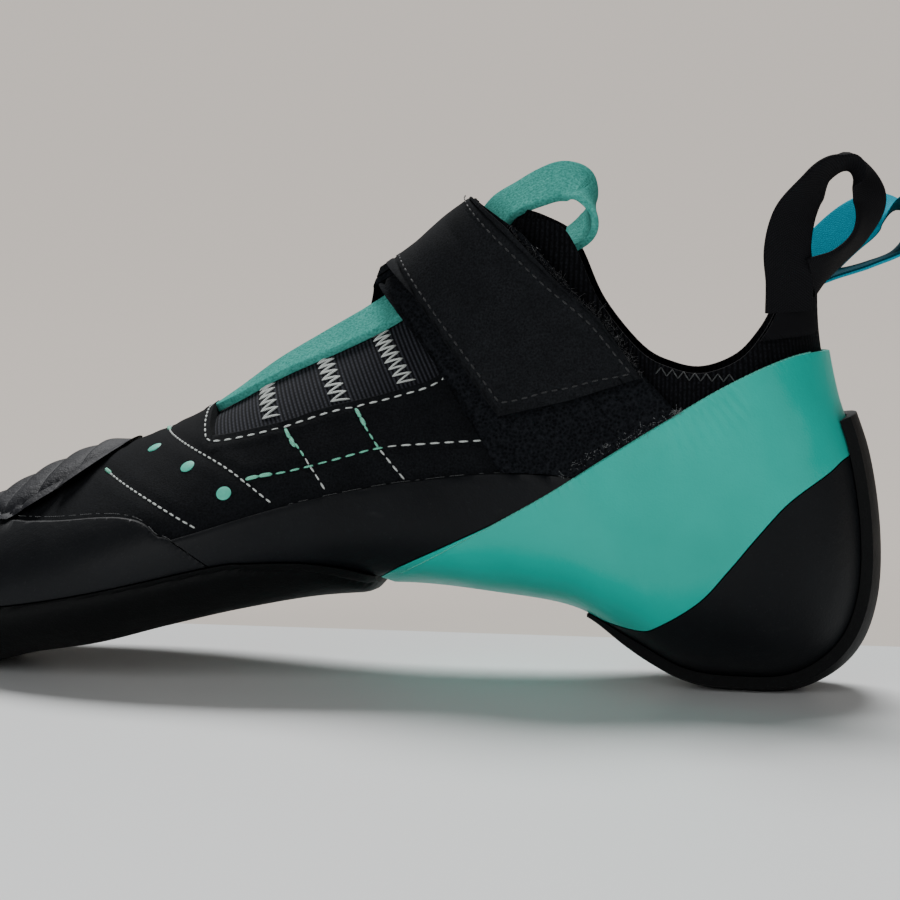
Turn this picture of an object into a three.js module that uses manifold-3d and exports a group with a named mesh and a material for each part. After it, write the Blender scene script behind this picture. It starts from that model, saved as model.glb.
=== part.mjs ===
// Climbing shoe for the left foot, standing empty on its sole.
// Millimetres, +Z up, toe toward -X, the outer side of the foot toward -Y.
import * as THREE from 'three';
import { mergeVertices } from 'three/addons/utils/BufferGeometryUtils.js';
import Module from 'manifold-3d';

const wasm = await Module();
wasm.setup();

// The last, measured inside the rubber
const LAST_LENGTH = 233;
const BALL_WIDTH = 84;
const INSTEP_HEIGHT = 105;
const HEEL_HEIGHT = 88;

// Thicknesses of the layers and the gap between neighbours
const GAP = 0.3;
const UPPER_WALL = 2;
const RIM_WALL = 3.6;
const RIM_DEPTH = 6;
const TONGUE_WALL = 1.7;
const TONGUE_LAP = 11;
const STRIP_THICKNESS = 1.9;
const STRIP_WIDTH = 12;
const RAND_THICKNESS = 1.7;
const SLING_THICKNESS = 1.6;
const OUTSOLE_THICKNESS = 4;
const OUTSOLE_EDGE = 2.6;
const HEEL_RUBBER = 2.4;
const HEEL_STRIP_WIDTH = 28;
const PATCH_THICKNESS = 1.4;
const PATCH_RIB = 0.8;
const PATCH_RIBS = 7;
const PANEL_THICKNESS = 1.8;
const HOOK_THICKNESS = 1.2;
const STRAP_THICKNESS = 1.5;
const STRAP_RISE = 4;
const FLAT_SPOT = 0.5;

// Pull loops of folded tape
const TAPE_WIDTH = 11.5;
const TAPE_THICKNESS = 1.5;
const LOOP_HEIGHT = 36;
const TONGUE_LOOP_HEIGHT = 13;

// How finely the curved forms are cut into facets
const STATIONS = 25;
const AROUND = 22;
const LINE_STEPS = 2;

// Sections of the last, from the toe to the collar. Each lies in a plane that leans with the foot,
// from a point of the bottom or heel (foot, low) to a point of the ridge or instep (over, high).
// foot, over: shares of the length from the heel; low, high: shares of the height there;
// mid, outer, inner: centre and half widths, shares of the ball width; lean: sideways shift of the
// ridge, share of the ball width; wide: where the section is widest; base, crown: how full it is
const COLUMNS = [
  'foot', 'low', 'over', 'high', 'mid', 'outer', 'inner', 'lean', 'wide', 'base', 'crown',
];
const SECTIONS = [
  [0.998, 0.090, 0.998, 0.090, 0.145, 0.000, 0.000, 0.00, 0.45, 2.2, 2.0],
  [0.989, 0.036, 0.989, 0.152, 0.140, 0.095, 0.095, 0.00, 0.45, 2.2, 2.0],
  [0.966, 0.010, 0.968, 0.214, 0.119, 0.190, 0.185, 0.01, 0.43, 2.4, 2.0],
  [0.927, 0.000, 0.929, 0.267, 0.089, 0.292, 0.274, 0.02, 0.40, 2.6, 2.0],
  [0.880, 0.006, 0.880, 0.314, 0.060, 0.381, 0.351, 0.04, 0.38, 2.8, 2.0],
  [0.824, 0.040, 0.824, 0.385, 0.030, 0.446, 0.423, 0.06, 0.36, 2.8, 1.9],
  [0.755, 0.070, 0.760, 0.452, 0.012, 0.494, 0.470, 0.07, 0.34, 2.8, 1.9],
  [0.687, 0.113, 0.695, 0.512, 0.000, 0.506, 0.488, 0.07, 0.32, 2.7, 1.9],
  [0.609, 0.157, 0.639, 0.581, -0.012, 0.488, 0.464, 0.06, 0.31, 2.6, 1.9],
  [0.524, 0.191, 0.584, 0.659, -0.024, 0.440, 0.417, 0.05, 0.31, 2.5, 1.9],
  [0.438, 0.198, 0.532, 0.718, -0.024, 0.399, 0.381, 0.04, 0.31, 2.4, 1.9],
  [0.352, 0.179, 0.489, 0.767, -0.012, 0.369, 0.357, 0.03, 0.31, 2.4, 2.0],
  [0.275, 0.151, 0.451, 0.821, 0.000, 0.357, 0.345, 0.02, 0.30, 2.4, 2.0],
  [0.215, 0.081, 0.425, 0.863, 0.000, 0.351, 0.351, 0.01, 0.29, 2.3, 2.1],
  [0.163, 0.018, 0.408, 0.897, 0.000, 0.351, 0.351, 0.00, 0.28, 2.3, 2.2],
  [0.112, 0.000, 0.395, 0.924, 0.000, 0.345, 0.345, 0.00, 0.27, 2.2, 2.2],
  [0.060, 0.010, 0.385, 0.946, 0.000, 0.339, 0.339, 0.00, 0.27, 2.2, 2.3],
  [0.019, 0.082, 0.377, 0.963, 0.000, 0.333, 0.333, 0.00, 0.27, 2.1, 2.3],
  [0.001, 0.205, 0.370, 0.979, 0.000, 0.327, 0.327, 0.00, 0.28, 2.1, 2.4],
  [0.000, 0.375, 0.365, 0.994, 0.000, 0.321, 0.321, 0.00, 0.30, 2.1, 2.4],
  [0.012, 0.568, 0.361, 1.009, 0.000, 0.315, 0.315, 0.00, 0.33, 2.1, 2.4],
  [0.034, 0.735, 0.357, 1.023, 0.000, 0.310, 0.310, 0.00, 0.36, 2.1, 2.4],
  [0.047, 0.900, 0.354, 1.038, 0.000, 0.304, 0.304, 0.00, 0.40, 2.1, 2.4],
  [0.050, 1.091, 0.349, 1.067, 0.000, 0.298, 0.298, 0.00, 0.45, 2.1, 2.4],
].map((row) => Object.fromEntries(COLUMNS.map((name, i) => [name, row[i]])));
const LAST_ROW = SECTIONS.length - 1;

// Seams and edges as they lie in the side view: shares of the length from the heel and of the
// height there
const SOLE_LINE = {
  toe: true,
  heel: false,
  rows: [
    { along: 1.100, up: 0.090 },
    { along: 0.930, up: 0.100 },
    { along: 0.832, up: 0.128 },
    { along: 0.734, up: 0.173 },
    { along: 0.622, up: 0.235 },
    { along: 0.588, up: 0.243 },
    { along: 0.540, up: 0.244 },
    { along: 0.501, up: 0.232 },
    { along: 0.474, up: 0.213 },
    { along: 0.459, up: 0.190 },
  ],
};
const TOE_RAND_TOP = {
  toe: true,
  heel: false,
  rows: [
    { along: 1.100, up: 0.285 },
    { along: 0.836, up: 0.304 },
    { along: 0.738, up: 0.327 },
    { along: 0.708, up: 0.329 },
    { along: 0.689, up: 0.320 },
    { along: 0.674, up: 0.297 },
    { along: 0.661, up: 0.289 },
    { along: 0.622, up: 0.231 },
    { along: 0.600, up: 0.190 },
  ],
};
const SIDE_RAND_TOP = {
  toe: true,
  heel: true,
  rows: [
    { along: 0.720, up: 0.255 },
    { along: 0.659, up: 0.292 },
    { along: 0.560, up: 0.363 },
    { along: 0.474, up: 0.408 },
    { along: 0.426, up: 0.424 },
    { along: 0.388, up: 0.435 },
    { along: 0.350, up: 0.441 },
    { along: 0.293, up: 0.443 },
    { along: 0.200, up: 0.440 },
  ],
};
const SLING_TOP = {
  toe: false,
  heel: true,
  rows: [
    { along: 0.479, up: 0.190 },
    { along: 0.448, up: 0.234 },
    { along: 0.400, up: 0.287 },
    { along: 0.352, up: 0.340 },
    { along: 0.304, up: 0.404 },
    { along: 0.257, up: 0.484 },
    { along: 0.182, up: 0.625 },
    { along: 0.144, up: 0.702 },
    { along: 0.102, up: 0.779 },
    { along: 0.069, up: 0.826 },
    { along: 0.030, up: 0.849 },
    { along: -0.050, up: 0.855 },
  ],
};
const SLING_LOW = {
  toe: false,
  heel: true,
  rows: [
    { along: 0.272, up: 0.120 },
    { along: 0.253, up: 0.118 },
    { along: 0.215, up: 0.110 },
    { along: 0.195, up: 0.130 },
    { along: 0.158, up: 0.195 },
    { along: 0.130, up: 0.279 },
    { along: 0.102, up: 0.373 },
    { along: 0.074, up: 0.460 },
    { along: 0.037, up: 0.538 },
    { along: 0.013, up: 0.585 },
    { along: -0.050, up: 0.640 },
  ],
};
const PATCH_EDGE = {
  toe: false,
  heel: false,
  rows: [
    { along: 0.885, up: 0.255 },
    { along: 0.848, up: 0.299 },
    { along: 0.795, up: 0.375 },
    { along: 0.765, up: 0.426 },
    { along: 0.740, up: 0.472 },
    { along: 0.725, up: 0.490 },
    { along: 0.705, up: 0.518 },
    { along: 0.680, up: 0.580 },
    { along: 0.665, up: 0.640 },
  ],
};
const THROAT_EDGE = {
  toe: false,
  heel: false,
  rows: [
    { along: 0.668, up: 0.620 },
    { along: 0.655, up: 0.556 },
    { along: 0.644, up: 0.502 },
    { along: 0.632, up: 0.491 },
    { along: 0.563, up: 0.528 },
    { along: 0.523, up: 0.559 },
    { along: 0.455, up: 0.599 },
    { along: 0.406, up: 0.650 },
    { along: 0.375, up: 0.800 },
    { along: 0.345, up: 0.970 },
    { along: 0.330, up: 1.150 },
  ],
};
const COLLAR_EDGE = {
  toe: true,
  heel: true,
  rows: [
    { along: 0.320, up: 0.990 },
    { along: 0.300, up: 0.978 },
    { along: 0.285, up: 0.935 },
    { along: 0.262, up: 0.835 },
    { along: 0.222, up: 0.746 },
    { along: 0.190, up: 0.724 },
    { along: 0.159, up: 0.732 },
    { along: 0.125, up: 0.787 },
    { along: 0.102, up: 0.870 },
    { along: 0.085, up: 0.960 },
    { along: 0.060, up: 1.010 },
    { along: -0.050, up: 1.035 },
  ],
};
const TONGUE_TOP = {
  toe: true,
  heel: false,
  rows: [
    { along: 0.450, up: 1.025 },
    { along: 0.360, up: 1.015 },
    { along: 0.317, up: 0.998 },
    { along: 0.285, up: 0.960 },
    { along: 0.262, up: 0.880 },
    { along: 0.250, up: 0.700 },
  ],
};

// Heel strip: from under the heel up its back to here
const STRIP_EDGE = {
  toe: false,
  heel: true,
  rows: [
    { along: 0.268, up: 0.300 },
    { along: 0.150, up: 0.400 },
    { along: 0.080, up: 0.520 },
    { along: 0.040, up: 0.640 },
    { along: 0.010, up: 0.690 },
    { along: -0.050, up: 0.715 },
  ],
};
// The padded rim ends where the tongue begins
const RIM_RANGE = {
  toe: false,
  heel: true,
  rows: [
    { along: 0.262, up: 1.200 },
    { along: 0.100, up: 1.200 },
  ],
};

// The closure, outer side first, from the toe edge at the ridge down, round the end and back up
const STRAP_OUTER = [
  { along: 0.484, up: 0.896 },
  { along: 0.444, up: 0.815 },
  { along: 0.404, up: 0.700 },
  { along: 0.355, up: 0.564 },
  { along: 0.287, up: 0.610 },
  { along: 0.220, up: 0.687 },
  { along: 0.260, up: 0.793 },
  { along: 0.298, up: 0.850 },
  { along: 0.355, up: 0.967 },
  { along: 0.393, up: 1.034 },
];
const STRAP_INNER = [
  { along: 0.484, up: 0.896 },
  { along: 0.512, up: 0.720 },
  { along: 0.500, up: 0.480 },
  { along: 0.365, up: 0.500 },
  { along: 0.385, up: 0.800 },
  { along: 0.393, up: 1.034 },
];
const PANEL_OUTER = [
  { along: 0.500, up: 0.870 },
  { along: 0.466, up: 0.790 },
  { along: 0.426, up: 0.690 },
  { along: 0.380, up: 0.540 },
  { along: 0.333, up: 0.456 },
  { along: 0.190, up: 0.625 },
  { along: 0.228, up: 0.715 },
  { along: 0.272, up: 0.790 },
  { along: 0.345, up: 0.930 },
];

// Rubber ribs of the toe patch run from this share of the length to the next
const RIBS_FROM = 0.86;
const RIBS_TO = 0.68;

// Lasting opening underneath, seen from above: share of the length, and of the last's width there
const LASTING = [
  { along: 0.900, share: 0.22 },
  { along: 0.860, share: 0.56 },
  { along: 0.760, share: 0.66 },
  { along: 0.600, share: 0.62 },
  { along: 0.440, share: 0.52 },
  { along: 0.280, share: 0.44 },
  { along: 0.160, share: 0.46 },
  { along: 0.100, share: 0.40 },
  { along: 0.070, share: 0.14 },
];

// Pull loops: path of the tape from its foot on the cuff and back to it, in shares of the loop's
// height: back toward the heel, out to the side, up. The tape's width points toward the heel,
// raised by tilt and swung across the shoe by swing, in degrees
const LOOP_OUTER = [
  { back: 0.00, out: 0.04, up: 0.20, tilt: 0, swing: 22 },
  { back: -0.02, out: 0.10, up: 0.40, tilt: 0, swing: 10 },
  { back: 0.02, out: 0.12, up: 0.63, tilt: -12, swing: 0 },
  { back: 0.13, out: 0.11, up: 0.82, tilt: -8, swing: -8 },
  { back: 0.24, out: 0.01, up: 0.95, tilt: 10, swing: -5 },
  { back: 0.37, out: -0.12, up: 0.92, tilt: 15, swing: 15 },
  { back: 0.49, out: -0.17, up: 0.72, tilt: 5, swing: 58 },
  { back: 0.44, out: -0.16, up: 0.50, tilt: -5, swing: 70 },
  { back: 0.29, out: -0.11, up: 0.33, tilt: -10, swing: 70 },
  { back: 0.13, out: -0.03, up: 0.21, tilt: 0, swing: 45 },
];
const LOOP_INNER = [
  { back: 0.10, out: 0.03, up: 0.20, tilt: -20, swing: 22 },
  { back: 0.27, out: 0.07, up: 0.40, tilt: -42, swing: 12 },
  { back: 0.45, out: 0.09, up: 0.57, tilt: -45, swing: 15 },
  { back: 0.63, out: 0.06, up: 0.68, tilt: -25, swing: 45 },
  { back: 0.79, out: 0.00, up: 0.68, tilt: 0, swing: 60 },
  { back: 0.86, out: -0.08, up: 0.55, tilt: 25, swing: 55 },
  { back: 0.76, out: -0.13, up: 0.41, tilt: 20, swing: 70 },
  { back: 0.55, out: -0.13, up: 0.31, tilt: 10, swing: 75 },
  { back: 0.33, out: -0.09, up: 0.24, tilt: 5, swing: 60 },
  { back: 0.14, out: -0.02, up: 0.19, tilt: 0, swing: 35 },
];
// Where the tape's foot lies on the last, and the patch that is sewn on round it
const LOOP_FOOT = { place: 22, turn: 0.132, swing: 25 };
const LOOP_BASE = [
  { along: 0.113, up: 0.835 },
  { along: 0.108, up: 0.950 },
  { along: 0.053, up: 0.990 },
  { along: 0.053, up: 0.885 },
];
// Tongue strip: where it lies on the last, and its width there as a share of the full width
const TONGUE_STRIP = [
  { place: 8.00, turn: 0.485, size: 0.30 },
  { place: 8.45, turn: 0.485, size: 0.90 },
  { place: 9.00, turn: 0.485, size: 1 },
  { place: 10.0, turn: 0.484, size: 1 },
  { place: 11.0, turn: 0.484, size: 1 },
  { place: 12.0, turn: 0.485, size: 1 },
  { place: 13.5, turn: 0.485, size: 1 },
  { place: 16.0, turn: 0.485, size: 1 },
  { place: 20.0, turn: 0.485, size: 1 },
];
// and its loop, from the tongue's top: back, out and up in shares of its height
const TONGUE_LOOP = [
  { back: 0.12, out: 0.05, up: 0.35 },
  { back: 0.45, out: 0.15, up: 0.70 },
  { back: 0.95, out: 0.22, up: 0.96 },
  { back: 1.38, out: 0.25, up: 0.84 },
  { back: 1.56, out: 0.22, up: 0.40 },
  { back: 1.52, out: 0.15, up: -0.10 },
  { back: 1.20, out: 0.05, up: -0.50 },
  { back: 0.78, out: 0.00, up: -0.70 },
];

const mix = (a, b, t) => a + (b - a) * t;

function ease(t) {
  const s = Math.min(Math.max(t, 0), 1);
  return s * s * (3 - 2 * s);
}

// Heights are shares of the heel's height at the heel and of the instep's from the instep on
const INSTEP_FROM = 0.35;
const heightAt = (along) => mix(HEEL_HEIGHT, INSTEP_HEIGHT, ease(along / INSTEP_FROM));
const lengthAt = (along) => -along * LAST_LENGTH;
const sidePoint = ({ along, up }) => new THREE.Vector2(lengthAt(along), up * heightAt(along));

// One column of the section table, smooth between its rows; the tip is rounded like a dome
function column(name, place) {
  const row = Math.min(Math.floor(place), LAST_ROW - 1);
  const t = place - row;
  const at = (i) => SECTIONS[Math.min(i, LAST_ROW)][name];
  const round = name === 'foot' || name === 'over';
  const before = row > 0 ? at(row - 1) : round ? at(1) : 2 * at(0) - at(1);
  const [a, b, c, d] = [before, at(row), at(row + 1), at(row + 2)];
  const m0 = (c - a) / 2;
  const m1 = (d - b) / 2;
  const t2 = t * t;
  const t3 = t2 * t;
  return (2 * t3 - 3 * t2 + 1) * b + (t3 - 2 * t2 + t) * m0 + (3 * t2 - 2 * t3) * c + (t3 - t2) * m1;
}

// A point of the last: place runs along the table's rows, turn goes once round the section,
// 0 at the bottom, a quarter on the outer side, a half on the ridge
function lastPoint(place, turn) {
  const angle = turn * 2 * Math.PI;
  const foot = column('foot', place);
  const over = column('over', place);
  const wide = column('wide', place);
  const under = Math.cos(angle) > 0;
  const power = 2 / column(under ? 'base' : 'crown', place);
  const rise = Math.abs(Math.cos(angle)) ** power;
  const reach = Math.abs(Math.sin(angle)) ** power;
  const w = under ? wide * (1 - rise) : wide + (1 - wide) * rise;
  const outer = Math.sin(angle) > 0;
  const half = Math.max(column(outer ? 'outer' : 'inner', place), 0) * (outer ? -1 : 1);
  const lean = column('lean', place) * ease((w - wide) / (1 - wide));
  const bottom = sidePoint({ along: foot, up: column('low', place) });
  const top = sidePoint({ along: over, up: column('high', place) });
  return new THREE.Vector3(
    mix(bottom.x, top.x, w),
    (column('mid', place) + half * reach + lean) * BALL_WIDTH,
    mix(bottom.y, top.y, w),
  );
}

// Outward direction, square to the last's surface
function outward(place, turn) {
  if (place <= 0) return new THREE.Vector3(-1, 0, 0);
  const step = 0.02;
  const ahead = lastPoint(Math.min(place + step, LAST_ROW), turn);
  const behind = lastPoint(Math.max(place - step, 0), turn);
  const left = lastPoint(place, turn + step);
  const right = lastPoint(place, turn - step);
  return ahead.sub(behind).cross(left.sub(right)).normalize();
}

function surfacePoint(place, turn, offset) {
  return lastPoint(place, turn).addScaledVector(outward(place, turn), offset);
}

// Manifold solid from a closed three.js geometry
function solid(geometry) {
  const bare = geometry.clone();
  bare.deleteAttribute('normal');
  bare.deleteAttribute('uv');
  const merged = mergeVertices(bare, 1e-4);
  return new wasm.Manifold(new wasm.Mesh({
    numProp: 3,
    vertProperties: Float32Array.from(merged.attributes.position.array),
    triVerts: Uint32Array.from(merged.index.array),
  }));
}

// The filled last, grown or shrunk by an offset that may vary over its surface
function body(offset) {
  const points = [];
  const faces = [];
  const grow = typeof offset === 'function' ? offset : () => offset;
  points.push(...surfacePoint(0, 0, grow(0, 0)).toArray());
  for (let i = 1; i <= STATIONS; i += 1) {
    const place = LAST_ROW * i / STATIONS;
    for (let j = 0; j < AROUND; j += 1) {
      const turn = j / AROUND;
      points.push(...surfacePoint(place, turn, grow(place, turn)).toArray());
    }
  }
  const end = points.length / 3;
  const cap = surfacePoint(LAST_ROW, 0, 0).lerp(surfacePoint(LAST_ROW, 0.5, 0), 0.5);
  points.push(...cap.toArray());
  const at = (i, j) => 1 + (i - 1) * AROUND + (j % AROUND);
  for (let j = 0; j < AROUND; j += 1) {
    faces.push(0, at(1, j), at(1, j + 1));
    faces.push(end, at(STATIONS, j + 1), at(STATIONS, j));
    for (let i = 1; i < STATIONS; i += 1) {
      faces.push(at(i, j), at(i + 1, j), at(i + 1, j + 1));
      faces.push(at(i, j), at(i + 1, j + 1), at(i, j + 1));
    }
  }
  const geometry = new THREE.BufferGeometry();
  geometry.setAttribute('position', new THREE.Float32BufferAttribute(points, 3));
  geometry.setIndex(faces);
  return solid(geometry);
}

// A layer of the shoe between two offsets from the last
const layer = (inside, outside) => body(outside).subtract(body(inside));

// An edge of the table as a smooth line, moved square to itself by a gap
function smoothLine(rows, move = 0) {
  const curve = new THREE.SplineCurve(rows.map(sidePoint));
  const count = (rows.length - 1) * LINE_STEPS;
  const line = [];
  for (let i = 0; i <= count; i += 1) {
    const along = curve.getTangent(i / count);
    const point = curve.getPoint(i / count);
    line.push(new THREE.Vector2(point.x - along.y * move, point.y + along.x * move));
  }
  return line;
}

// Prism across the shoe over an outline of the side view
const REACH = 3;
function prism(outline, from = -REACH * BALL_WIDTH, to = REACH * BALL_WIDTH) {
  const geometry = new THREE.ExtrudeGeometry(new THREE.Shape(outline), {
    depth: to - from, bevelEnabled: false, steps: 1,
  });
  geometry.rotateX(Math.PI / 2);
  geometry.translate(0, to, 0);
  return solid(geometry);
}

// Everything below an edge that runs from the toe side to the heel side. Past its ends the edge
// goes on level where it says so, and elsewhere the region stops there.
const FAR = REACH * LAST_LENGTH;
function region(edge, move, limit, from, to) {
  const line = smoothLine(edge.rows, move);
  if (edge.toe) line.unshift(new THREE.Vector2(-FAR, line[0].y));
  if (edge.heel) line.push(new THREE.Vector2(FAR, line[line.length - 1].y));
  line.push(new THREE.Vector2(line[line.length - 1].x, limit));
  line.push(new THREE.Vector2(line[0].x, limit));
  return prism(line, from, to);
}

const below = (edge, move = 0, from = undefined, to = undefined) => (
  region(edge, move, -REACH * INSTEP_HEIGHT, from, to)
);
const above = (edge, move = 0, from = undefined, to = undefined) => (
  region(edge, move, REACH * INSTEP_HEIGHT, from, to)
);

// Row of the section table whose bottom point lies at a share of the length
function placeAt(along) {
  let low = 0;
  let high = LASTING_END;
  for (let i = 0; i < 24; i += 1) {
    const middle = (low + high) / 2;
    if (column('foot', middle) > along) low = middle;
    else high = middle;
  }
  return low;
}
const LASTING_END = 17;

// Lasting opening from above, as a prism through the bottom wall
const ARCH_CLEAR = 0.245;
function lasting(move) {
  const side = (sign) => LASTING.map(({ along, share }) => {
    const place = placeAt(along);
    const half = share * column(sign < 0 ? 'outer' : 'inner', place);
    return new THREE.Vector2(lengthAt(along), (column('mid', place) + sign * half) * BALL_WIDTH);
  });
  const curve = new THREE.SplineCurve([...side(-1), ...side(1).reverse(), side(-1)[0]]);
  const count = LASTING.length * 2 * LINE_STEPS;
  const line = [];
  for (let i = 0; i < count; i += 1) {
    const along = curve.getTangent(i / count);
    const point = curve.getPoint(i / count);
    line.push(new THREE.Vector2(point.x - along.y * move, point.y + along.x * move));
  }
  const geometry = new THREE.ExtrudeGeometry(new THREE.Shape(line), {
    depth: INSTEP_HEIGHT, bevelEnabled: false, steps: 1,
  });
  geometry.translate(0, 0, (ARCH_CLEAR - 1) * INSTEP_HEIGHT);
  return solid(geometry);
}

// Tape or strip of even thickness along a path, from one station of it to another; across is
// its width direction at each station
function tape(stations, width, thickness, first = 0, last = stations.length - 1) {
  const path = new THREE.CatmullRomCurve3(stations.map((s) => s.point));
  const all = (stations.length - 1) * LINE_STEPS;
  const count = (last - first) * LINE_STEPS;
  const points = [];
  const faces = [];
  for (let i = first * LINE_STEPS; i <= last * LINE_STEPS; i += 1) {
    const near = stations[Math.floor(i / LINE_STEPS)];
    const next = stations[Math.min(Math.floor(i / LINE_STEPS) + 1, stations.length - 1)];
    const t = (i % LINE_STEPS) / LINE_STEPS;
    const ahead = path.getTangent(i / all);
    const across = near.across.clone().lerp(next.across, t);
    across.addScaledVector(ahead, -across.dot(ahead)).normalize();
    const half = width * mix(near.size ?? 1, next.size ?? 1, t) / 2;
    const up = across.clone().cross(ahead).multiplyScalar(thickness / 2);
    const middle = path.getPoint(i / all);
    for (const [a, b] of [[-1, -1], [1, -1], [1, 1], [-1, 1]]) {
      points.push(...middle.clone().addScaledVector(across, a * half).addScaledVector(up, b).toArray());
    }
  }
  for (let i = 0; i < count; i += 1) {
    for (let j = 0; j < 4; j += 1) {
      const [a, b] = [4 * i + j, 4 * i + ((j + 1) % 4)];
      faces.push(a, b + 4, b, a, a + 4, b + 4);
    }
  }
  const end = 4 * count;
  faces.push(0, 1, 2, 0, 2, 3, end, end + 2, end + 1, end, end + 3, end + 2);
  const geometry = new THREE.BufferGeometry();
  geometry.setAttribute('position', new THREE.Float32BufferAttribute(points, 3));
  geometry.setIndex(faces);
  return solid(geometry);
}

// Width direction of a tape that lies on the last along the foot
function acrossAt(place, turn) {
  const step = 0.02;
  return surfacePoint(place, turn - step, 0).sub(surfacePoint(place, turn + step, 0)).normalize();
}

// Offsets of the layers from the last
const RUBBER_OUT = GAP + RAND_THICKNESS;
const SLING_OUT = GAP + SLING_THICKNESS;
const TONGUE_OUT = -(UPPER_WALL + GAP);
const PANEL_IN = GAP + GAP;
const PANEL_OUT = PANEL_IN + PANEL_THICKNESS;
const HOOK_IN = PANEL_OUT + GAP;
const HOOK_OUT = HOOK_IN + HOOK_THICKNESS;
const STRAP_IN = HOOK_OUT + GAP;
const STRAP_OUT = STRAP_IN + STRAP_THICKNESS;

// The closure stands up over the ridge, where it bridges the throat
const RISE_REACH = 0.16;
const ridgeRise = (turn) => STRAP_RISE * ease(1 - Math.abs(turn - 0.48) / RISE_REACH);
const raised = (offset) => (place, turn) => offset + ridgeRise(turn);

// Throat's edge on the inner side, just past the ridge
const THROAT_INNER = 0.11 * BALL_WIDTH;
const SPLIT = 0.02 * BALL_WIDTH;

function makeUpper() {
  const rimBand = below(COLLAR_EDGE).subtract(below(COLLAR_EDGE, -RIM_DEPTH)).intersect(below(RIM_RANGE));
  const rim = layer(-RIM_WALL, -UPPER_WALL / 2).intersect(rimBand);
  return layer(-UPPER_WALL, 0)
    .intersect(below(COLLAR_EDGE))
    .add(rim)
    .subtract(above(THROAT_EDGE, 0, -FAR, THROAT_INNER))
    .subtract(lasting(0));
}

function makeInsole() {
  return layer(-UPPER_WALL, 0).intersect(lasting(GAP));
}

function makeTongue() {
  return layer(TONGUE_OUT - TONGUE_WALL, TONGUE_OUT)
    .intersect(above(THROAT_EDGE, -TONGUE_LAP, -FAR, THROAT_INNER + TONGUE_LAP))
    .intersect(below(TONGUE_TOP));
}

// Full thickness under the foot, thinner up the side to its edge
function outsoleOffset(place, turn) {
  const fromBottom = Math.min(turn, 1 - turn);
  return GAP + mix(OUTSOLE_THICKNESS, OUTSOLE_EDGE, ease((fromBottom - 0.06) / 0.14));
}

function makeOutsole() {
  return layer(GAP, outsoleOffset).intersect(below(SOLE_LINE)).subtract(ground());
}

// The floor, with the sole worn flat where it stands
const FLOOR = -(GAP + OUTSOLE_THICKNESS - FLAT_SPOT);
function ground() {
  const depth = INSTEP_HEIGHT;
  const geometry = new THREE.BoxGeometry(2 * FAR, 2 * FAR, depth);
  geometry.translate(0, 0, FLOOR - depth / 2);
  return solid(geometry);
}

function makeToeRand() {
  return layer(GAP, RUBBER_OUT).intersect(below(TOE_RAND_TOP)).subtract(below(SOLE_LINE, GAP));
}

function makeSideRand(sign) {
  const half = sign < 0 ? [-FAR, 0] : [0, FAR];
  return layer(GAP, RUBBER_OUT)
    .intersect(below(SIDE_RAND_TOP, 0, ...half))
    .subtract(below(TOE_RAND_TOP, GAP))
    .subtract(below(SOLE_LINE, GAP))
    .subtract(below(SLING_TOP, GAP));
}

function makeHeelSling() {
  return layer(GAP, SLING_OUT)
    .intersect(below(SLING_TOP))
    .subtract(below(SLING_LOW, GAP))
    .subtract(below(SOLE_LINE, GAP));
}

function makeHeelCup() {
  return layer(GAP, SLING_OUT).intersect(below(SLING_LOW));
}

function makeHeelStrip() {
  const half = HEEL_STRIP_WIDTH / 2;
  return layer(SLING_OUT + GAP, SLING_OUT + GAP + HEEL_RUBBER)
    .intersect(below(STRIP_EDGE, 0, -half, half))
    .subtract(ground());
}

// Rounded ribs across the toe patch
function patchOffset(place) {
  const along = (RIBS_FROM - column('over', place)) / (RIBS_FROM - RIBS_TO);
  const wave = Math.abs(Math.sin(Math.PI * PATCH_RIBS * along));
  return GAP + PATCH_THICKNESS + PATCH_RIB * (along > 0 && along < 1 ? wave : 0);
}

function makeToePatch() {
  return layer(GAP, patchOffset)
    .intersect(above(PATCH_EDGE))
    .subtract(below(TOE_RAND_TOP, GAP))
    .subtract(above(THROAT_EDGE, -GAP * 2, -FAR, THROAT_INNER + GAP));
}

const outline = (rows) => smoothLoop(rows.map(sidePoint));
function smoothLoop(points) {
  return points;
}

function makeStrapLayer(inside, outside, outerRows, innerRows) {
  const shape = prism(outline(outerRows), -FAR, SPLIT).add(prism(outline(innerRows), SPLIT, FAR));
  return layer(raised(inside), raised(outside)).intersect(shape);
}

function makeStrap() {
  return makeStrapLayer(STRAP_IN, STRAP_OUT, STRAP_OUTER, STRAP_INNER);
}
function makeStrapHook() {
  return makeStrapLayer(HOOK_IN, HOOK_OUT, STRAP_OUTER, STRAP_INNER);
}
function makeStrapBase() {
  return layer(raised(PANEL_IN), raised(PANEL_OUT)).intersect(prism(outline(PANEL_OUTER), -FAR, 0));
}

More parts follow.
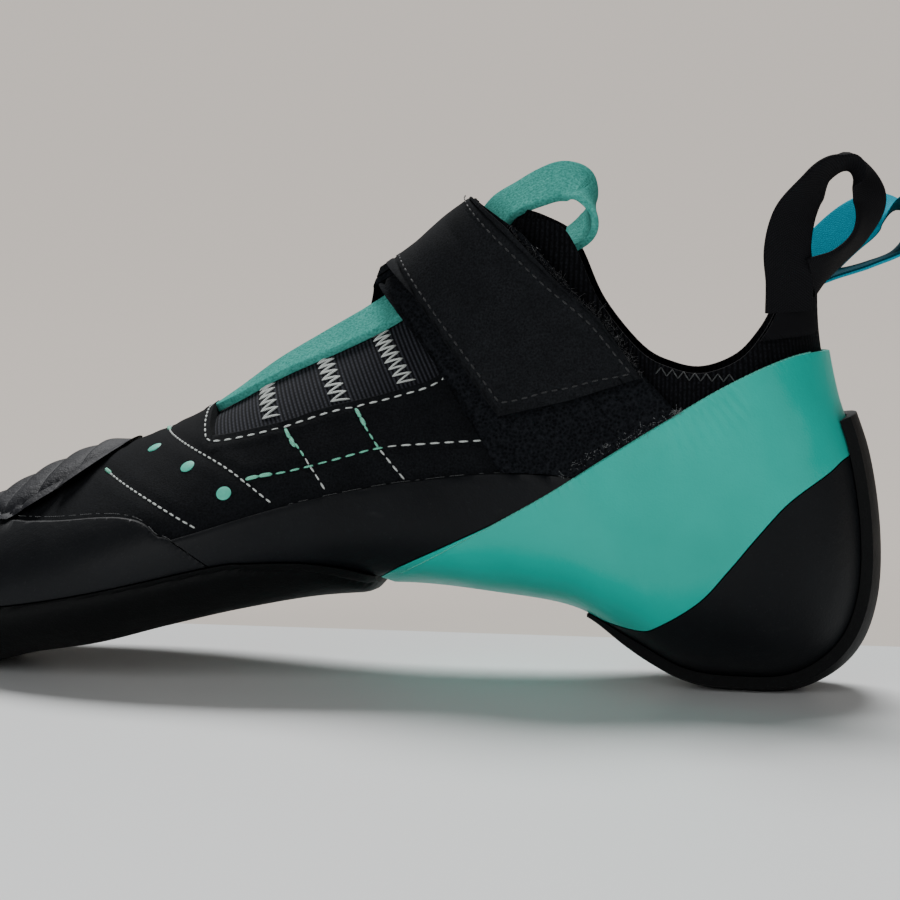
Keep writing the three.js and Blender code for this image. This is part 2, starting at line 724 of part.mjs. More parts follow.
function makePullLoop(rows, sign) {
  const turn = sign < 0 ? LOOP_FOOT.turn : 1 - LOOP_FOOT.turn;
  const foot = surfacePoint(LOOP_FOOT.place, turn, GAP + TAPE_THICKNESS);
  const start = { back: 0, out: 0, up: 0, tilt: 0, swing: LOOP_FOOT.swing };
  const stations = [start, ...rows].map(({ back, out, up, tilt, swing }) => {
    const rise = THREE.MathUtils.degToRad(tilt);
    const side = THREE.MathUtils.degToRad(swing);
    return {
      point: foot.clone().add(new THREE.Vector3(back, sign * out, up).multiplyScalar(LOOP_HEIGHT)),
      across: new THREE.Vector3(
        Math.cos(rise) * Math.cos(side), -sign * Math.sin(side), Math.sin(rise) * Math.cos(side),
      ),
    };
  });
  const half = sign < 0 ? [-FAR, 0] : [0, FAR];
  const top = Math.floor(stations.length / 2);
  return layer(GAP, GAP + TAPE_THICKNESS)
    .intersect(prism(outline(LOOP_BASE), ...half))
    .add(tape(stations, TAPE_WIDTH, TAPE_THICKNESS, 0, top))
    .add(tape(stations, TAPE_WIDTH, TAPE_THICKNESS, top));
}

function makeTongueStrip() {
  const offset = TONGUE_OUT + GAP + STRIP_THICKNESS / 2;
  const stations = TONGUE_STRIP.map(({ place, turn, size }) => ({
    point: surfacePoint(place, turn, offset),
    across: acrossAt(place, turn),
    size,
  }));
  const top = stations[stations.length - 1].point;
  for (const { back, out, up } of TONGUE_LOOP) {
    const step = new THREE.Vector3(back, -out, up).multiplyScalar(TONGUE_LOOP_HEIGHT);
    stations.push({ point: top.clone().add(step), across: stations[stations.length - 1].across });
  }
  return tape(stations, STRIP_WIDTH, STRIP_THICKNESS);
}

// Materials: colour, roughness
const BLACK_KNIT = ['#17181a', 0.95];
const ELASTIC = ['#3a3c40', 0.95];
const RUBBER = ['#2b2c2e', 0.55];
const SOLE_RUBBER = ['#232425', 0.85];
const TURQUOISE = ['#12909a', 0.5];
const TURQUOISE_SUEDE = ['#1fa3ad', 0.9];
const SUEDE = ['#141416', 0.97];
const FUZZ = ['#1e1f22', 1];
const BLUE_TAPE = ['#1277b8', 0.8];
const BOARD = ['#55575a', 0.9];

function mesh(name, made, [color, roughness]) {
  const got = made.getMesh();
  const geometry = new THREE.BufferGeometry();
  geometry.setAttribute('position', new THREE.BufferAttribute(Float32Array.from(got.vertProperties), 3));
  geometry.setIndex(new THREE.BufferAttribute(Uint32Array.from(got.triVerts), 1));
  geometry.computeVertexNormals();
  const material = new THREE.MeshStandardMaterial({ color, roughness, metalness: 0 });
  const piece = new THREE.Mesh(geometry, material);
  piece.name = name;
  return piece;
}

const shoe = new THREE.Group();
shoe.add(
  mesh('upper', makeUpper(), BLACK_KNIT),
  mesh('insole', makeInsole(), BOARD),
  mesh('tongue', makeTongue(), ELASTIC),
  mesh('outsole', makeOutsole(), SOLE_RUBBER),
  mesh('toe_rand', makeToeRand(), RUBBER),
  mesh('side_rand_outer', makeSideRand(-1), RUBBER),
  mesh('side_rand_inner', makeSideRand(1), RUBBER),
  mesh('heel_sling', makeHeelSling(), TURQUOISE),
  mesh('heel_cup', makeHeelCup(), RUBBER),
  mesh('heel_strip', makeHeelStrip(), RUBBER),
  mesh('toe_patch', makeToePatch(), RUBBER),
  mesh('tongue_strip', makeTongueStrip(), TURQUOISE_SUEDE),
  mesh('strap_base', makeStrapBase(), FUZZ),
  mesh('strap_hook', makeStrapHook(), FUZZ),
  mesh('strap', makeStrap(), SUEDE),
  mesh('pull_loop_outer', makePullLoop(LOOP_OUTER, -1), SUEDE),
  mesh('pull_loop_inner', makePullLoop(LOOP_INNER, 1), BLUE_TAPE),
);

// Stand the shoe on the floor, with its middle over the origin
const box = new THREE.Box3().setFromObject(shoe);
const middle = box.getCenter(new THREE.Vector3());
shoe.position.set(-middle.x, -middle.y, -box.min.z);
shoe.updateMatrixWorld(true);

export default shoe;
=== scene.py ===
"""Looks of a left climbing shoe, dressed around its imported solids.

The shoe's own sizes are in millimetres and are turned into metres when a mesh is made.
"""
import math

import bmesh
import bpy
import numpy as np
from mathutils import Matrix, Vector


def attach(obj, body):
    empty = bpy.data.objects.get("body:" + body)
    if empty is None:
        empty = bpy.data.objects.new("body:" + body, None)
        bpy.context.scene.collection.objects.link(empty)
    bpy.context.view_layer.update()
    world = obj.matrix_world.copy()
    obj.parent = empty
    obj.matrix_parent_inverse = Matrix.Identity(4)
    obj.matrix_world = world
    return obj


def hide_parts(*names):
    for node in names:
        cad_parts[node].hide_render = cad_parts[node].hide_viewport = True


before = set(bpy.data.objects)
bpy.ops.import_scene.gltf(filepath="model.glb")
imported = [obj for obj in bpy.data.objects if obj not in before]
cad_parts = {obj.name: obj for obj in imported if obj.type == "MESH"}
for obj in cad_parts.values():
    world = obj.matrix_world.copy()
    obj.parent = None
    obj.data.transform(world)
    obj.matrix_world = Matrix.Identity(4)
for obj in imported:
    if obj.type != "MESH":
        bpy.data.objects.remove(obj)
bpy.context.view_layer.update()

# The last, measured inside the rubber
LAST_LENGTH = 233
BALL_WIDTH = 84
INSTEP_HEIGHT = 105
HEEL_HEIGHT = 88
INSTEP_FROM = 0.35

# Thicknesses of the layers and the gap between neighbours
GAP = 0.3
UPPER_WALL = 2
RIM_WALL = 3.6
RIM_DEPTH = 6
TONGUE_WALL = 1.7
TONGUE_LAP = 11
STRIP_THICKNESS = 1.9
STRIP_WIDTH = 12
RAND_THICKNESS = 1.7
SLING_THICKNESS = 1.6
OUTSOLE_THICKNESS = 4
OUTSOLE_EDGE = 2.6
HEEL_RUBBER = 2.4
SOLE_END = 0.472
HEEL_STRIP_WIDTH = 28
PATCH_THICKNESS = 1.4
PATCH_RIB = 0.8
RIBS_SHOWN = 6
RIB_SWEEP = 55
PANEL_THICKNESS = 1.8
HOOK_THICKNESS = 1.2
STRAP_THICKNESS = 1.5
STRAP_RISE = 4
FLAT_SPOT = 0.5
TAPE_WIDTH = 11.5
TAPE_THICKNESS = 1.5
LOOP_HEIGHT = 36
TONGUE_LOOP_HEIGHT = 13

# From the last's own corner, at the heel and the lowest point of the bottom, to the part's frame
SHIFT = np.array([110.4426, 0.5636, 3.8])
MM = 0.001

# Sections of the last from toe to collar, each from a point of the bottom or heel (foot, low) to a
# point of the ridge or instep (over, high), as shares of the length, height and ball width
COLUMNS = ("foot", "low", "over", "high", "mid", "outer", "inner", "lean", "wide", "base", "crown")
SECTIONS = (
    (0.998, 0.090, 0.998, 0.090, 0.145, 0.000, 0.000, 0.00, 0.45, 2.2, 2.0),
    (0.989, 0.036, 0.989, 0.152, 0.140, 0.095, 0.095, 0.00, 0.45, 2.2, 2.0),
    (0.966, 0.010, 0.968, 0.214, 0.119, 0.190, 0.185, 0.01, 0.43, 2.4, 2.0),
    (0.927, 0.000, 0.929, 0.267, 0.089, 0.292, 0.274, 0.02, 0.40, 2.6, 2.0),
    (0.880, 0.006, 0.880, 0.314, 0.060, 0.381, 0.351, 0.04, 0.38, 2.8, 2.0),
    (0.824, 0.040, 0.824, 0.385, 0.030, 0.446, 0.423, 0.06, 0.36, 2.8, 1.9),
    (0.755, 0.070, 0.760, 0.452, 0.012, 0.494, 0.470, 0.07, 0.34, 2.8, 1.9),
    (0.687, 0.113, 0.695, 0.512, 0.000, 0.506, 0.488, 0.07, 0.32, 2.7, 1.9),
    (0.609, 0.157, 0.639, 0.581, -0.012, 0.488, 0.464, 0.06, 0.31, 2.6, 1.9),
    (0.524, 0.191, 0.584, 0.659, -0.024, 0.440, 0.417, 0.05, 0.31, 2.5, 1.9),
    (0.438, 0.198, 0.532, 0.718, -0.024, 0.399, 0.381, 0.04, 0.31, 2.4, 1.9),
    (0.352, 0.179, 0.489, 0.767, -0.012, 0.369, 0.357, 0.03, 0.31, 2.4, 2.0),
    (0.275, 0.151, 0.451, 0.821, 0.000, 0.357, 0.345, 0.02, 0.30, 2.4, 2.0),
    (0.215, 0.081, 0.425, 0.863, 0.000, 0.351, 0.351, 0.01, 0.29, 2.3, 2.1),
    (0.163, 0.018, 0.408, 0.897, 0.000, 0.351, 0.351, 0.00, 0.28, 2.3, 2.2),
    (0.112, 0.000, 0.395, 0.924, 0.000, 0.345, 0.345, 0.00, 0.27, 2.2, 2.2),
    (0.060, 0.010, 0.385, 0.946, 0.000, 0.339, 0.339, 0.00, 0.27, 2.2, 2.3),
    (0.019, 0.082, 0.377, 0.963, 0.000, 0.333, 0.333, 0.00, 0.27, 2.1, 2.3),
    (0.001, 0.205, 0.370, 0.979, 0.000, 0.327, 0.327, 0.00, 0.28, 2.1, 2.4),
    (0.000, 0.375, 0.365, 0.994, 0.000, 0.321, 0.321, 0.00, 0.30, 2.1, 2.4),
    (0.012, 0.568, 0.361, 1.009, 0.000, 0.315, 0.315, 0.00, 0.33, 2.1, 2.4),
    (0.034, 0.735, 0.357, 1.023, 0.000, 0.310, 0.310, 0.00, 0.36, 2.1, 2.4),
    (0.047, 0.900, 0.354, 1.038, 0.000, 0.304, 0.304, 0.00, 0.40, 2.1, 2.4),
    (0.050, 1.091, 0.349, 1.067, 0.000, 0.298, 0.298, 0.00, 0.45, 2.1, 2.4),
)
COLUMN = dict(zip(COLUMNS, np.array(SECTIONS).T))
LAST_ROW = len(SECTIONS) - 1

# Seams and edges in the side view, toe side first: share of the length from the heel, share of the
# height there, and whether the edge goes on level past its toe end and its heel end
ON, STOP = True, False
SOLE_LINE = (ON, STOP, (
    (1.100, 0.090), (0.930, 0.100), (0.832, 0.128), (0.734, 0.173), (0.622, 0.235), (0.588, 0.243),
    (0.540, 0.244), (0.501, 0.232), (0.474, 0.213), (0.459, 0.190)))
TOE_RAND_TOP = (ON, STOP, (
    (1.100, 0.285), (0.836, 0.304), (0.738, 0.327), (0.708, 0.329), (0.689, 0.320), (0.674, 0.297),
    (0.661, 0.289), (0.622, 0.231), (0.600, 0.190)))
SIDE_RAND_TOP = (ON, ON, (
    (0.720, 0.255), (0.659, 0.292), (0.560, 0.363), (0.474, 0.408), (0.426, 0.424), (0.388, 0.435),
    (0.350, 0.441), (0.293, 0.443), (0.200, 0.440)))
SLING_TOP = (STOP, ON, (
    (0.479, 0.190), (0.448, 0.234), (0.400, 0.287), (0.352, 0.340), (0.304, 0.404), (0.257, 0.484),
    (0.182, 0.625), (0.144, 0.702), (0.102, 0.779), (0.069, 0.826), (0.030, 0.849), (-0.050, 0.855)))
SLING_LOW = (STOP, ON, (
    (0.272, 0.120), (0.253, 0.118), (0.215, 0.110), (0.195, 0.130), (0.158, 0.195), (0.130, 0.279),
    (0.102, 0.373), (0.074, 0.460), (0.037, 0.538), (0.013, 0.585), (-0.050, 0.640)))
PATCH_EDGE = (STOP, STOP, (
    (0.885, 0.255), (0.848, 0.299), (0.795, 0.375), (0.765, 0.426), (0.740, 0.472), (0.725, 0.490),
    (0.705, 0.518), (0.680, 0.580), (0.665, 0.640)))
THROAT_EDGE = (STOP, STOP, (
    (0.668, 0.620), (0.655, 0.556), (0.644, 0.502), (0.632, 0.491), (0.563, 0.528), (0.523, 0.559),
    (0.455, 0.599), (0.406, 0.650), (0.375, 0.800), (0.345, 0.970), (0.330, 1.150)))
COLLAR_EDGE = (ON, ON, (
    (0.320, 0.990), (0.300, 0.978), (0.285, 0.935), (0.262, 0.835), (0.222, 0.746), (0.190, 0.724),
    (0.159, 0.732), (0.125, 0.787), (0.102, 0.870), (0.085, 0.960), (0.060, 1.010), (-0.050, 1.035)))
TONGUE_TOP = (ON, STOP, (
    (0.450, 1.025), (0.360, 1.015), (0.317, 0.998), (0.285, 0.960), (0.262, 0.880), (0.250, 0.700)))
STRIP_EDGE = (STOP, ON, (
    (0.268, 0.300), (0.150, 0.400), (0.080, 0.520), (0.040, 0.640), (0.010, 0.690), (-0.050, 0.715)))
RIM_RANGE = (STOP, ON, ((0.262, 1.200), (0.100, 1.200)))

# The closure, outer side first, from the toe edge at the ridge down, round the end and back up
STRAP_OUTER = (
    (0.484, 0.896), (0.444, 0.815), (0.404, 0.700), (0.355, 0.564), (0.287, 0.610), (0.220, 0.687),
    (0.260, 0.793), (0.298, 0.850), (0.355, 0.967), (0.393, 1.034))
STRAP_INNER = (
    (0.484, 0.896), (0.512, 0.720), (0.500, 0.480), (0.365, 0.500), (0.385, 0.800), (0.393, 1.034))
PANEL_OUTER = (
    (0.500, 0.870), (0.466, 0.790), (0.426, 0.690), (0.380, 0.540), (0.333, 0.456), (0.190, 0.625),
    (0.228, 0.715), (0.272, 0.790), (0.345, 0.930))
LOOP_BASE = ((0.113, 0.835), (0.108, 0.950), (0.053, 0.990), (0.053, 0.885))

# Lasting opening from above: share of the length, and of the last's width there
LASTING = (
    (0.900, 0.22), (0.860, 0.56), (0.760, 0.66), (0.600, 0.62), (0.440, 0.52), (0.280, 0.44),
    (0.160, 0.46), (0.100, 0.40), (0.070, 0.14))
ARCH_CLEAR = 0.245

# Pull loops: back toward the heel, out to the side and up, in shares of the loop's height, and how
# the tape's width is raised and swung there, in degrees
LOOP_FOOT = (22, 0.132, 25)
LOOP_OUTER = (
    (0.00, 0.04, 0.20, 0, 22), (-0.02, 0.10, 0.40, 0, 24), (0.02, 0.12, 0.60, -4, 34),
    (0.13, 0.11, 0.77, 0, 52), (0.25, 0.01, 0.88, 5, 66), (0.38, -0.12, 0.90, 5, 62),
    (0.49, -0.17, 0.72, 5, 48), (0.44, -0.16, 0.50, -5, 70), (0.29, -0.11, 0.33, -10, 70),
    (0.13, -0.03, 0.21, 0, 45))
LOOP_INNER = (
    (0.10, 0.03, 0.20, -20, 22), (0.27, 0.07, 0.40, -42, 12), (0.45, 0.09, 0.57, -45, 15),
    (0.63, 0.06, 0.68, -25, 45), (0.79, 0.00, 0.68, 0, 60), (0.86, -0.08, 0.55, 25, 55),
    (0.76, -0.13, 0.41, 20, 70), (0.55, -0.13, 0.31, 10, 75), (0.33, -0.09, 0.24, 5, 60),
    (0.14, -0.02, 0.19, 0, 35))
# Tongue strip: row of the last, turn round it, share of the full width and roll to the outer side in
# degrees; then its loop as above, with its roll
TONGUE_STRIP = (
    (7.60, 0.480, 0.08, 4), (7.85, 0.476, 0.18, 8), (8.25, 0.470, 0.34, 12), (9.00, 0.466, 0.58, 15),
    (10.0, 0.469, 0.80, 17), (11.0, 0.474, 0.95, 18), (12.0, 0.478, 1, 18), (13.5, 0.482, 1, 18),
    (16.0, 0.484, 1, 20), (20.0, 0.485, 1, 27))
TONGUE_LOOP = (
    (0.30, 0.05, 0.20, 32), (0.66, 0.15, 0.38, 38), (1.06, 0.22, 0.50, 42), (1.40, 0.25, 0.40, 42),
    (1.58, 0.22, 0.08, 38), (1.54, 0.15, -0.24, 30), (1.22, 0.05, -0.52, 20), (0.78, 0.00, -0.70, 10))

# Stitched lines of the outer side, in the same shares
SEAMS = {
    "toe": ((0.751, 0.420), (0.688, 0.366), (0.638, 0.316)),
    "quarter": ((0.705, 0.509), (0.622, 0.448), (0.567, 0.372)),
    "long": (
        (0.595, 0.421), (0.552, 0.440), (0.515, 0.462), (0.468, 0.491), (0.421, 0.502), (0.368, 0.511)),
    "front_bar": ((0.562, 0.525), (0.544, 0.481), (0.530, 0.441), (0.517, 0.401)),
    "rear_bar": ((0.495, 0.571), (0.478, 0.516), (0.463, 0.475), (0.442, 0.424)),
}


def ease(t):
    s = np.clip(t, 0, 1)
    return s * s * (3 - 2 * s)


def height_at(along):
    return HEEL_HEIGHT + (INSTEP_HEIGHT - HEEL_HEIGHT) * ease(np.asarray(along) / INSTEP_FROM)


def side(rows):
    """Points of the side view in millimetres from shares."""
    rows = np.asarray(rows, float)
    return np.stack([-rows[:, 0] * LAST_LENGTH, rows[:, 1] * height_at(rows[:, 0])], axis=1)


def column(name, place):
    """One column of the section table, smooth between its rows; the tip is rounded like a dome."""
    values = COLUMN[name]
    place = np.asarray(place, float)
    row = np.clip(np.floor(place).astype(int), 0, LAST_ROW - 1)
    t = place - row
    first = values[1] if name in ("foot", "over") else 2 * values[0] - values[1]
    padded = np.concatenate([[first], values, [values[-1]]])
    a, b, c, d = (padded[row + k] for k in range(4))
    m0, m1 = (c - a) / 2, (d - b) / 2
    t2, t3 = t * t, t ** 3
    return (2*t3 - 3*t2 + 1) * b + (t3 - 2*t2 + t) * m0 + (3*t2 - 2*t3) * c + (t3 - t2) * m1


def last_point(place, turn):
    """Point of the last: turn is 0 at the bottom, a quarter on the outer side, a half on the ridge."""
    place, turn = np.broadcast_arrays(np.asarray(place, float), np.asarray(turn, float))
    angle = turn * 2 * math.pi
    foot, over, wide = column("foot", place), column("over", place), column("wide", place)
    under = np.cos(angle) > 0
    power = 2 / np.where(under, column("base", place), column("crown", place))
    rise = np.abs(np.cos(angle)) ** power
    reach = np.abs(np.sin(angle)) ** power
    w = np.where(under, wide * (1 - rise), wide + (1 - wide) * rise)
    outer = np.sin(angle) > 0
    half = np.maximum(np.where(outer, column("outer", place), column("inner", place)), 0)
    half = half * np.where(outer, -1, 1)
    lean = column("lean", place) * ease((w - wide) / (1 - wide))
    bottom_x, bottom_z = -foot * LAST_LENGTH, column("low", place) * height_at(foot)
    top_x, top_z = -over * LAST_LENGTH, column("high", place) * height_at(over)
    return np.stack([
        bottom_x + (top_x - bottom_x) * w,
        (column("mid", place) + half * reach + lean) * BALL_WIDTH,
        bottom_z + (top_z - bottom_z) * w], axis=-1)


def unit(v):
    return v / np.maximum(np.linalg.norm(v, axis=-1, keepdims=True), 1e-12)


def outward(place, turn):
    """Outward direction, square to the last's surface."""
    step = 0.02
    ahead = last_point(np.minimum(place + step, LAST_ROW), turn)
    behind = last_point(np.maximum(place - step, 0), turn)
    around = last_point(place, turn + step) - last_point(place, turn - step)
    normal = unit(np.cross(ahead - behind, around))
    tip = (np.asarray(place) <= 0)[..., None]
    return np.where(tip, np.array([-1.0, 0, 0]), normal)


def surface(place, turn, offset=0.0):
    place, turn = np.broadcast_arrays(np.asarray(place, float), np.asarray(turn, float))
    point = last_point(place, turn)
    grow = offset(place, turn, point) if callable(offset) else offset
    return point + outward(place, turn) * np.asarray(grow)[..., None]


# Places along the whole last, and those along its bottom, where the foot's share falls steadily
DENSE = np.linspace(0.05, LAST_ROW, 2301)
BOTTOM = DENSE[:1701]


def locate(line, inner=False):
    """Place and turn of the points of the last that show along a line of the side view."""
    foot, over = column("foot", DENSE), column("over", DENSE)
    bottom = np.stack([-foot * LAST_LENGTH, column("low", DENSE) * height_at(foot)], 1)
    top = np.stack([-over * LAST_LENGTH, column("high", DENSE) * height_at(over)], 1)
    span = top - bottom
    places, turns = [], []
    for x, z in line:
        away = np.array([x, z]) - bottom
        cross = span[:, 0] * away[:, 1] - span[:, 1] * away[:, 0]
        w_all = (away * span).sum(1) / np.maximum((span * span).sum(1), 1e-9)
        change = np.nonzero(cross[:-1] * cross[1:] <= 0)[0]
        change = change[(w_all[change] > -0.3) & (w_all[change] < 1.3)]
        if not len(change):
            continue
        i = change[0]
        t = cross[i] / (cross[i] - cross[i + 1]) if cross[i] != cross[i + 1] else 0.0
        place = DENSE[i] + (DENSE[i + 1] - DENSE[i]) * t
        w = float(np.clip(w_all[i] + (w_all[i + 1] - w_all[i]) * t, 0, 1))
        wide = float(column("wide", place))
        if w < wide:
            angle = math.acos((1 - w / wide) ** (float(column("base", place)) / 2))
        else:
            angle = math.pi - math.acos(((w - wide) / (1 - wide)) ** (float(column("crown", place)) / 2))
        turn = angle / 2 / math.pi
        places.append(place)
        turns.append(1 - turn if inner else turn)
    return np.array(places), np.array(turns)


def spline(points, steps):
    """Smooth line through points, with steps pieces between neighbours."""
    p = np.asarray(points, float)
    t = np.linspace(0, len(p) - 1, (len(p) - 1) * steps + 1)
    i = np.minimum(t.astype(int), len(p) - 2)
    w = (t - i)[:, None]
    p0, p1, p2, p3 = p[np.maximum(i - 1, 0)], p[i], p[i + 1], p[np.minimum(i + 2, len(p) - 1)]
    v0, v1 = (p2 - p0) / 2, (p3 - p1) / 2
    return (2*p1 - 2*p2 + v0 + v1) * w**3 + (3*p2 - 3*p1 - 2*v0 - v1) * w**2 + v0 * w + p1


def evenly(line, pitch, ends=0.0):
    """The same line with points a pitch apart."""
    gone = np.concatenate([[0], np.cumsum(np.linalg.norm(np.diff(line, axis=0), axis=1))])
    count = max(int(round((gone[-1] - 2 * ends) / pitch)), 1)
    at = np.linspace(ends, gone[-1] - ends, count + 1)
    return np.stack([np.interp(at, gone, line[:, k]) for k in range(line.shape[1])], 1)


FAR = 3 * LAST_LENGTH
EDGE_STEPS = 6


def square_to(along):
    """Directions a quarter turn to the left of others in a plane."""
    along = unit(along)
    return np.stack([-along[:, 1], along[:, 0]], 1)


def edge_line(edge, move=0.0):
    """An edge as a smooth line, moved square to itself by a gap and carried on where it says so."""
    toe, heel, rows = edge
    line = spline(side(rows), EDGE_STEPS)
    line = line + square_to(np.gradient(line, axis=0)) * move
    if toe:
        line = np.vstack([[-FAR, line[0, 1]], line])
    if heel:
        line = np.vstack([line, [FAR, line[-1, 1]]])
    return line


def distance(line, point):
    """Distance in the side view from points of the last to a line."""
    x, z = point[..., 0], point[..., 2]
    best = np.full(x.shape, np.inf)
    for (ax, az), (bx, bz) in zip(line[:-1], line[1:]):
        dx, dz = bx - ax, bz - az
        t = np.clip(((x - ax) * dx + (z - az) * dz) / max(dx * dx + dz * dz, 1e-9), 0, 1)
        best = np.minimum(best, np.hypot(x - ax - t * dx, z - az - t * dz))
    return best


# Meshes

def add_object(name, data):
    made = bpy.data.objects.new(name, data)
    bpy.context.scene.collection.objects.link(made)
    return made


def make_object(name, points, faces):
    """Object from points in millimetres of the last and triangles between them."""
    mesh = bpy.data.meshes.new(name)
    points = (np.asarray(points, float) + SHIFT) * MM
    faces = np.asarray(faces, np.int32)
    mesh.vertices.add(len(points))
    mesh.vertices.foreach_set("co", points.astype(np.float32).ravel())
    mesh.loops.add(faces.size)
    mesh.loops.foreach_set("vertex_index", faces.ravel())
    mesh.polygons.add(len(faces))
    mesh.polygons.foreach_set("loop_start", np.arange(len(faces), dtype=np.int32) * faces.shape[1])
    mesh.update(calc_edges=True)
    return add_object(name, mesh)


def ladder(*parts):
    """Positions in runs of (start, end, count)."""
    runs = [np.linspace(a, b, n, endpoint=False) for a, b, n in parts]
    return np.concatenate(runs + [[parts[-1][1]]])


def thinned(values):
    """Every second value, and the last one."""
    return np.append(values[:-1:2], values[-1])


def tube_sides(rows, around):
    """Triangles between the rings of a tube, whose points are counted ring by ring."""
    i, j = np.meshgrid(np.arange(rows - 1), np.arange(around), indexing="ij")
    k = (j + 1) % around
    a, b, c, d = (r * around + s for r, s in ((i, j), (i, k), (i + 1, k), (i + 1, j)))
    return np.stack([a, b, c, a, c, d], -1).reshape(-1, 3)


def tube_faces(rows, around):
    """The same with flat ends."""
    j = np.arange(1, around - 1)
    first = np.stack([0 * j, j + 1, j], 1)
    last = (rows - 1) * around + np.stack([0 * j, j, j + 1], 1)
    return np.vstack([tube_sides(rows, around), first, last])


ALL_PLACES = ladder((0, LAST_ROW, 60))
ALL_TURNS = ladder((0, 1, 60))


def body(name, offset, places=ALL_PLACES, turns=ALL_TURNS):
    """The filled last, grown by an offset that may vary over its surface."""
    places, turns = places[1:], turns[:-1]
    rows, around = len(places), len(turns)
    grid = surface(places[:, None], turns[None, :], offset)
    tip = surface(np.zeros(1), np.zeros(1), offset)
    end = (surface(LAST_ROW, 0.0) + surface(LAST_ROW, 0.5)) / 2
    points = np.vstack([tip, grid.reshape(-1, 3), [end]])
    sides = 1 + tube_sides(rows, around)[:, ::-1]
    j = np.arange(around)
    k = (j + 1) % around
    nose = np.stack([0 * j, 1 + j, 1 + k], 1)
    top = 1 + (rows - 1) * around
    lid = np.stack([0 * j + len(points) - 1, top + k, top + j], 1)
    return make_object(name, points, np.vstack([sides, nose, lid]))


def prism(outline, low=-FAR, high=FAR, upright=False):
    """Prism across the shoe over an outline of the side view, or upright over one seen from above."""
    outline = np.asarray(outline, float)
    nxt = np.roll(outline, -1, axis=0)
    if (outline[:, 0] * nxt[:, 1] - nxt[:, 0] * outline[:, 1]).sum() < 0:
        outline = outline[::-1]
    n = len(outline)
    axis, ends = (2, (high, low)) if upright else (1, (low, high))
    points = np.vstack([np.insert(outline, axis, end, axis=1) for end in ends])
    faces = [list(range(n)), list(range(2 * n - 1, n - 1, -1))]
    faces += [[k, n + k, n + (k + 1) % n, (k + 1) % n] for k in range(n)]
    mesh = bpy.data.meshes.new("prism")
    mesh.from_pydata(((points + SHIFT) * MM).tolist(), [], faces)
    return add_object("prism", mesh)


def region(edge, move, limit, low, high):
    line = edge_line(edge, move)
    return prism(np.vstack([line, [line[-1, 0], limit], [line[0, 0], limit]]), low, high)


def below(edge, move=0.0, low=-FAR, high=FAR):
    return region(edge, move, -3 * INSTEP_HEIGHT, low, high)


def above(edge, move=0.0, low=-FAR, high=FAR):
    return region(edge, move, 3 * INSTEP_HEIGHT, low, high)


def remove(thing):
    mesh = thing.data
    bpy.data.objects.remove(thing)
    bpy.data.meshes.remove(mesh)


def combine(target, operation, *others):
    """Cuts or joins solids; the others are used up."""
    for other in others:
        modifier = target.modifiers.new("combine", "BOOLEAN")
        modifier.operation = operation
        modifier.solver = "MANIFOLD"
        modifier.object = other
        bpy.context.view_layer.update()
        graph = bpy.context.evaluated_depsgraph_get()
        made = bpy.data.meshes.new_from_object(target.evaluated_get(graph))
        target.modifiers.clear()
        old, target.data = target.data, made
        bpy.data.meshes.remove(old)
        remove(other)
    return target


def keep(target, *others):
    return combine(target, "INTERSECT", *others)


def cut(target, *others):
    return combine(target, "DIFFERENCE", *others)


# Angles in degrees from which an edge shows as sharp
LAYER_SHARP = 38
TAPE_SHARP = 60
THREAD_SHARP = 80


def smooth(thing, angle=LAYER_SHARP):
    thing.data.shade_smooth()
    thing.data.set_sharp_from_angle(angle=math.radians(angle))
    return thing


def outside_out(thing):
    """Turns the faces round where they look inward."""
    shape = bmesh.new()
    shape.from_mesh(thing.data)
    if shape.calc_volume(signed=True) < 0:
        bmesh.ops.reverse_faces(shape, faces=shape.faces)
        shape.to_mesh(thing.data)
    shape.free()
    return thing


def ground():
    """All under the floor, where the sole is worn flat."""
    floor = -(GAP + OUTSOLE_THICKNESS - FLAT_SPOT)
    return prism([(-FAR, floor), (FAR, floor), (FAR, -FAR), (-FAR, -FAR)])


def lasting():
    """Block through the lasting opening, up to the arch."""
    rows = np.array(LASTING)
    place = np.interp(-rows[:, 0], -column("foot", BOTTOM), BOTTOM)
    left = (column("mid", place) - rows[:, 1] * column("outer", place)) * BALL_WIDTH
    right = (column("mid", place) + rows[:, 1] * column("inner", place)) * BALL_WIDTH
    x = -rows[:, 0] * LAST_LENGTH
    ring = np.vstack([np.column_stack([x, left]), np.column_stack([x, right])[::-1], [[x[0], left[0]]]])
    low, high = (ARCH_CLEAR - 1) * INSTEP_HEIGHT, ARCH_CLEAR * INSTEP_HEIGHT
    return prism(spline(ring, 4)[:-1], low, high, upright=True)


# Finishes

def rgb(code):
    """Linear colour of a web colour."""
    parts = [int(code[i:i + 2], 16) / 255 for i in (1, 3, 5)]
    return [p / 12.92 if p <= 0.04045 else ((p + 0.055) / 1.055) ** 2.4 for p in parts] + [1.0]


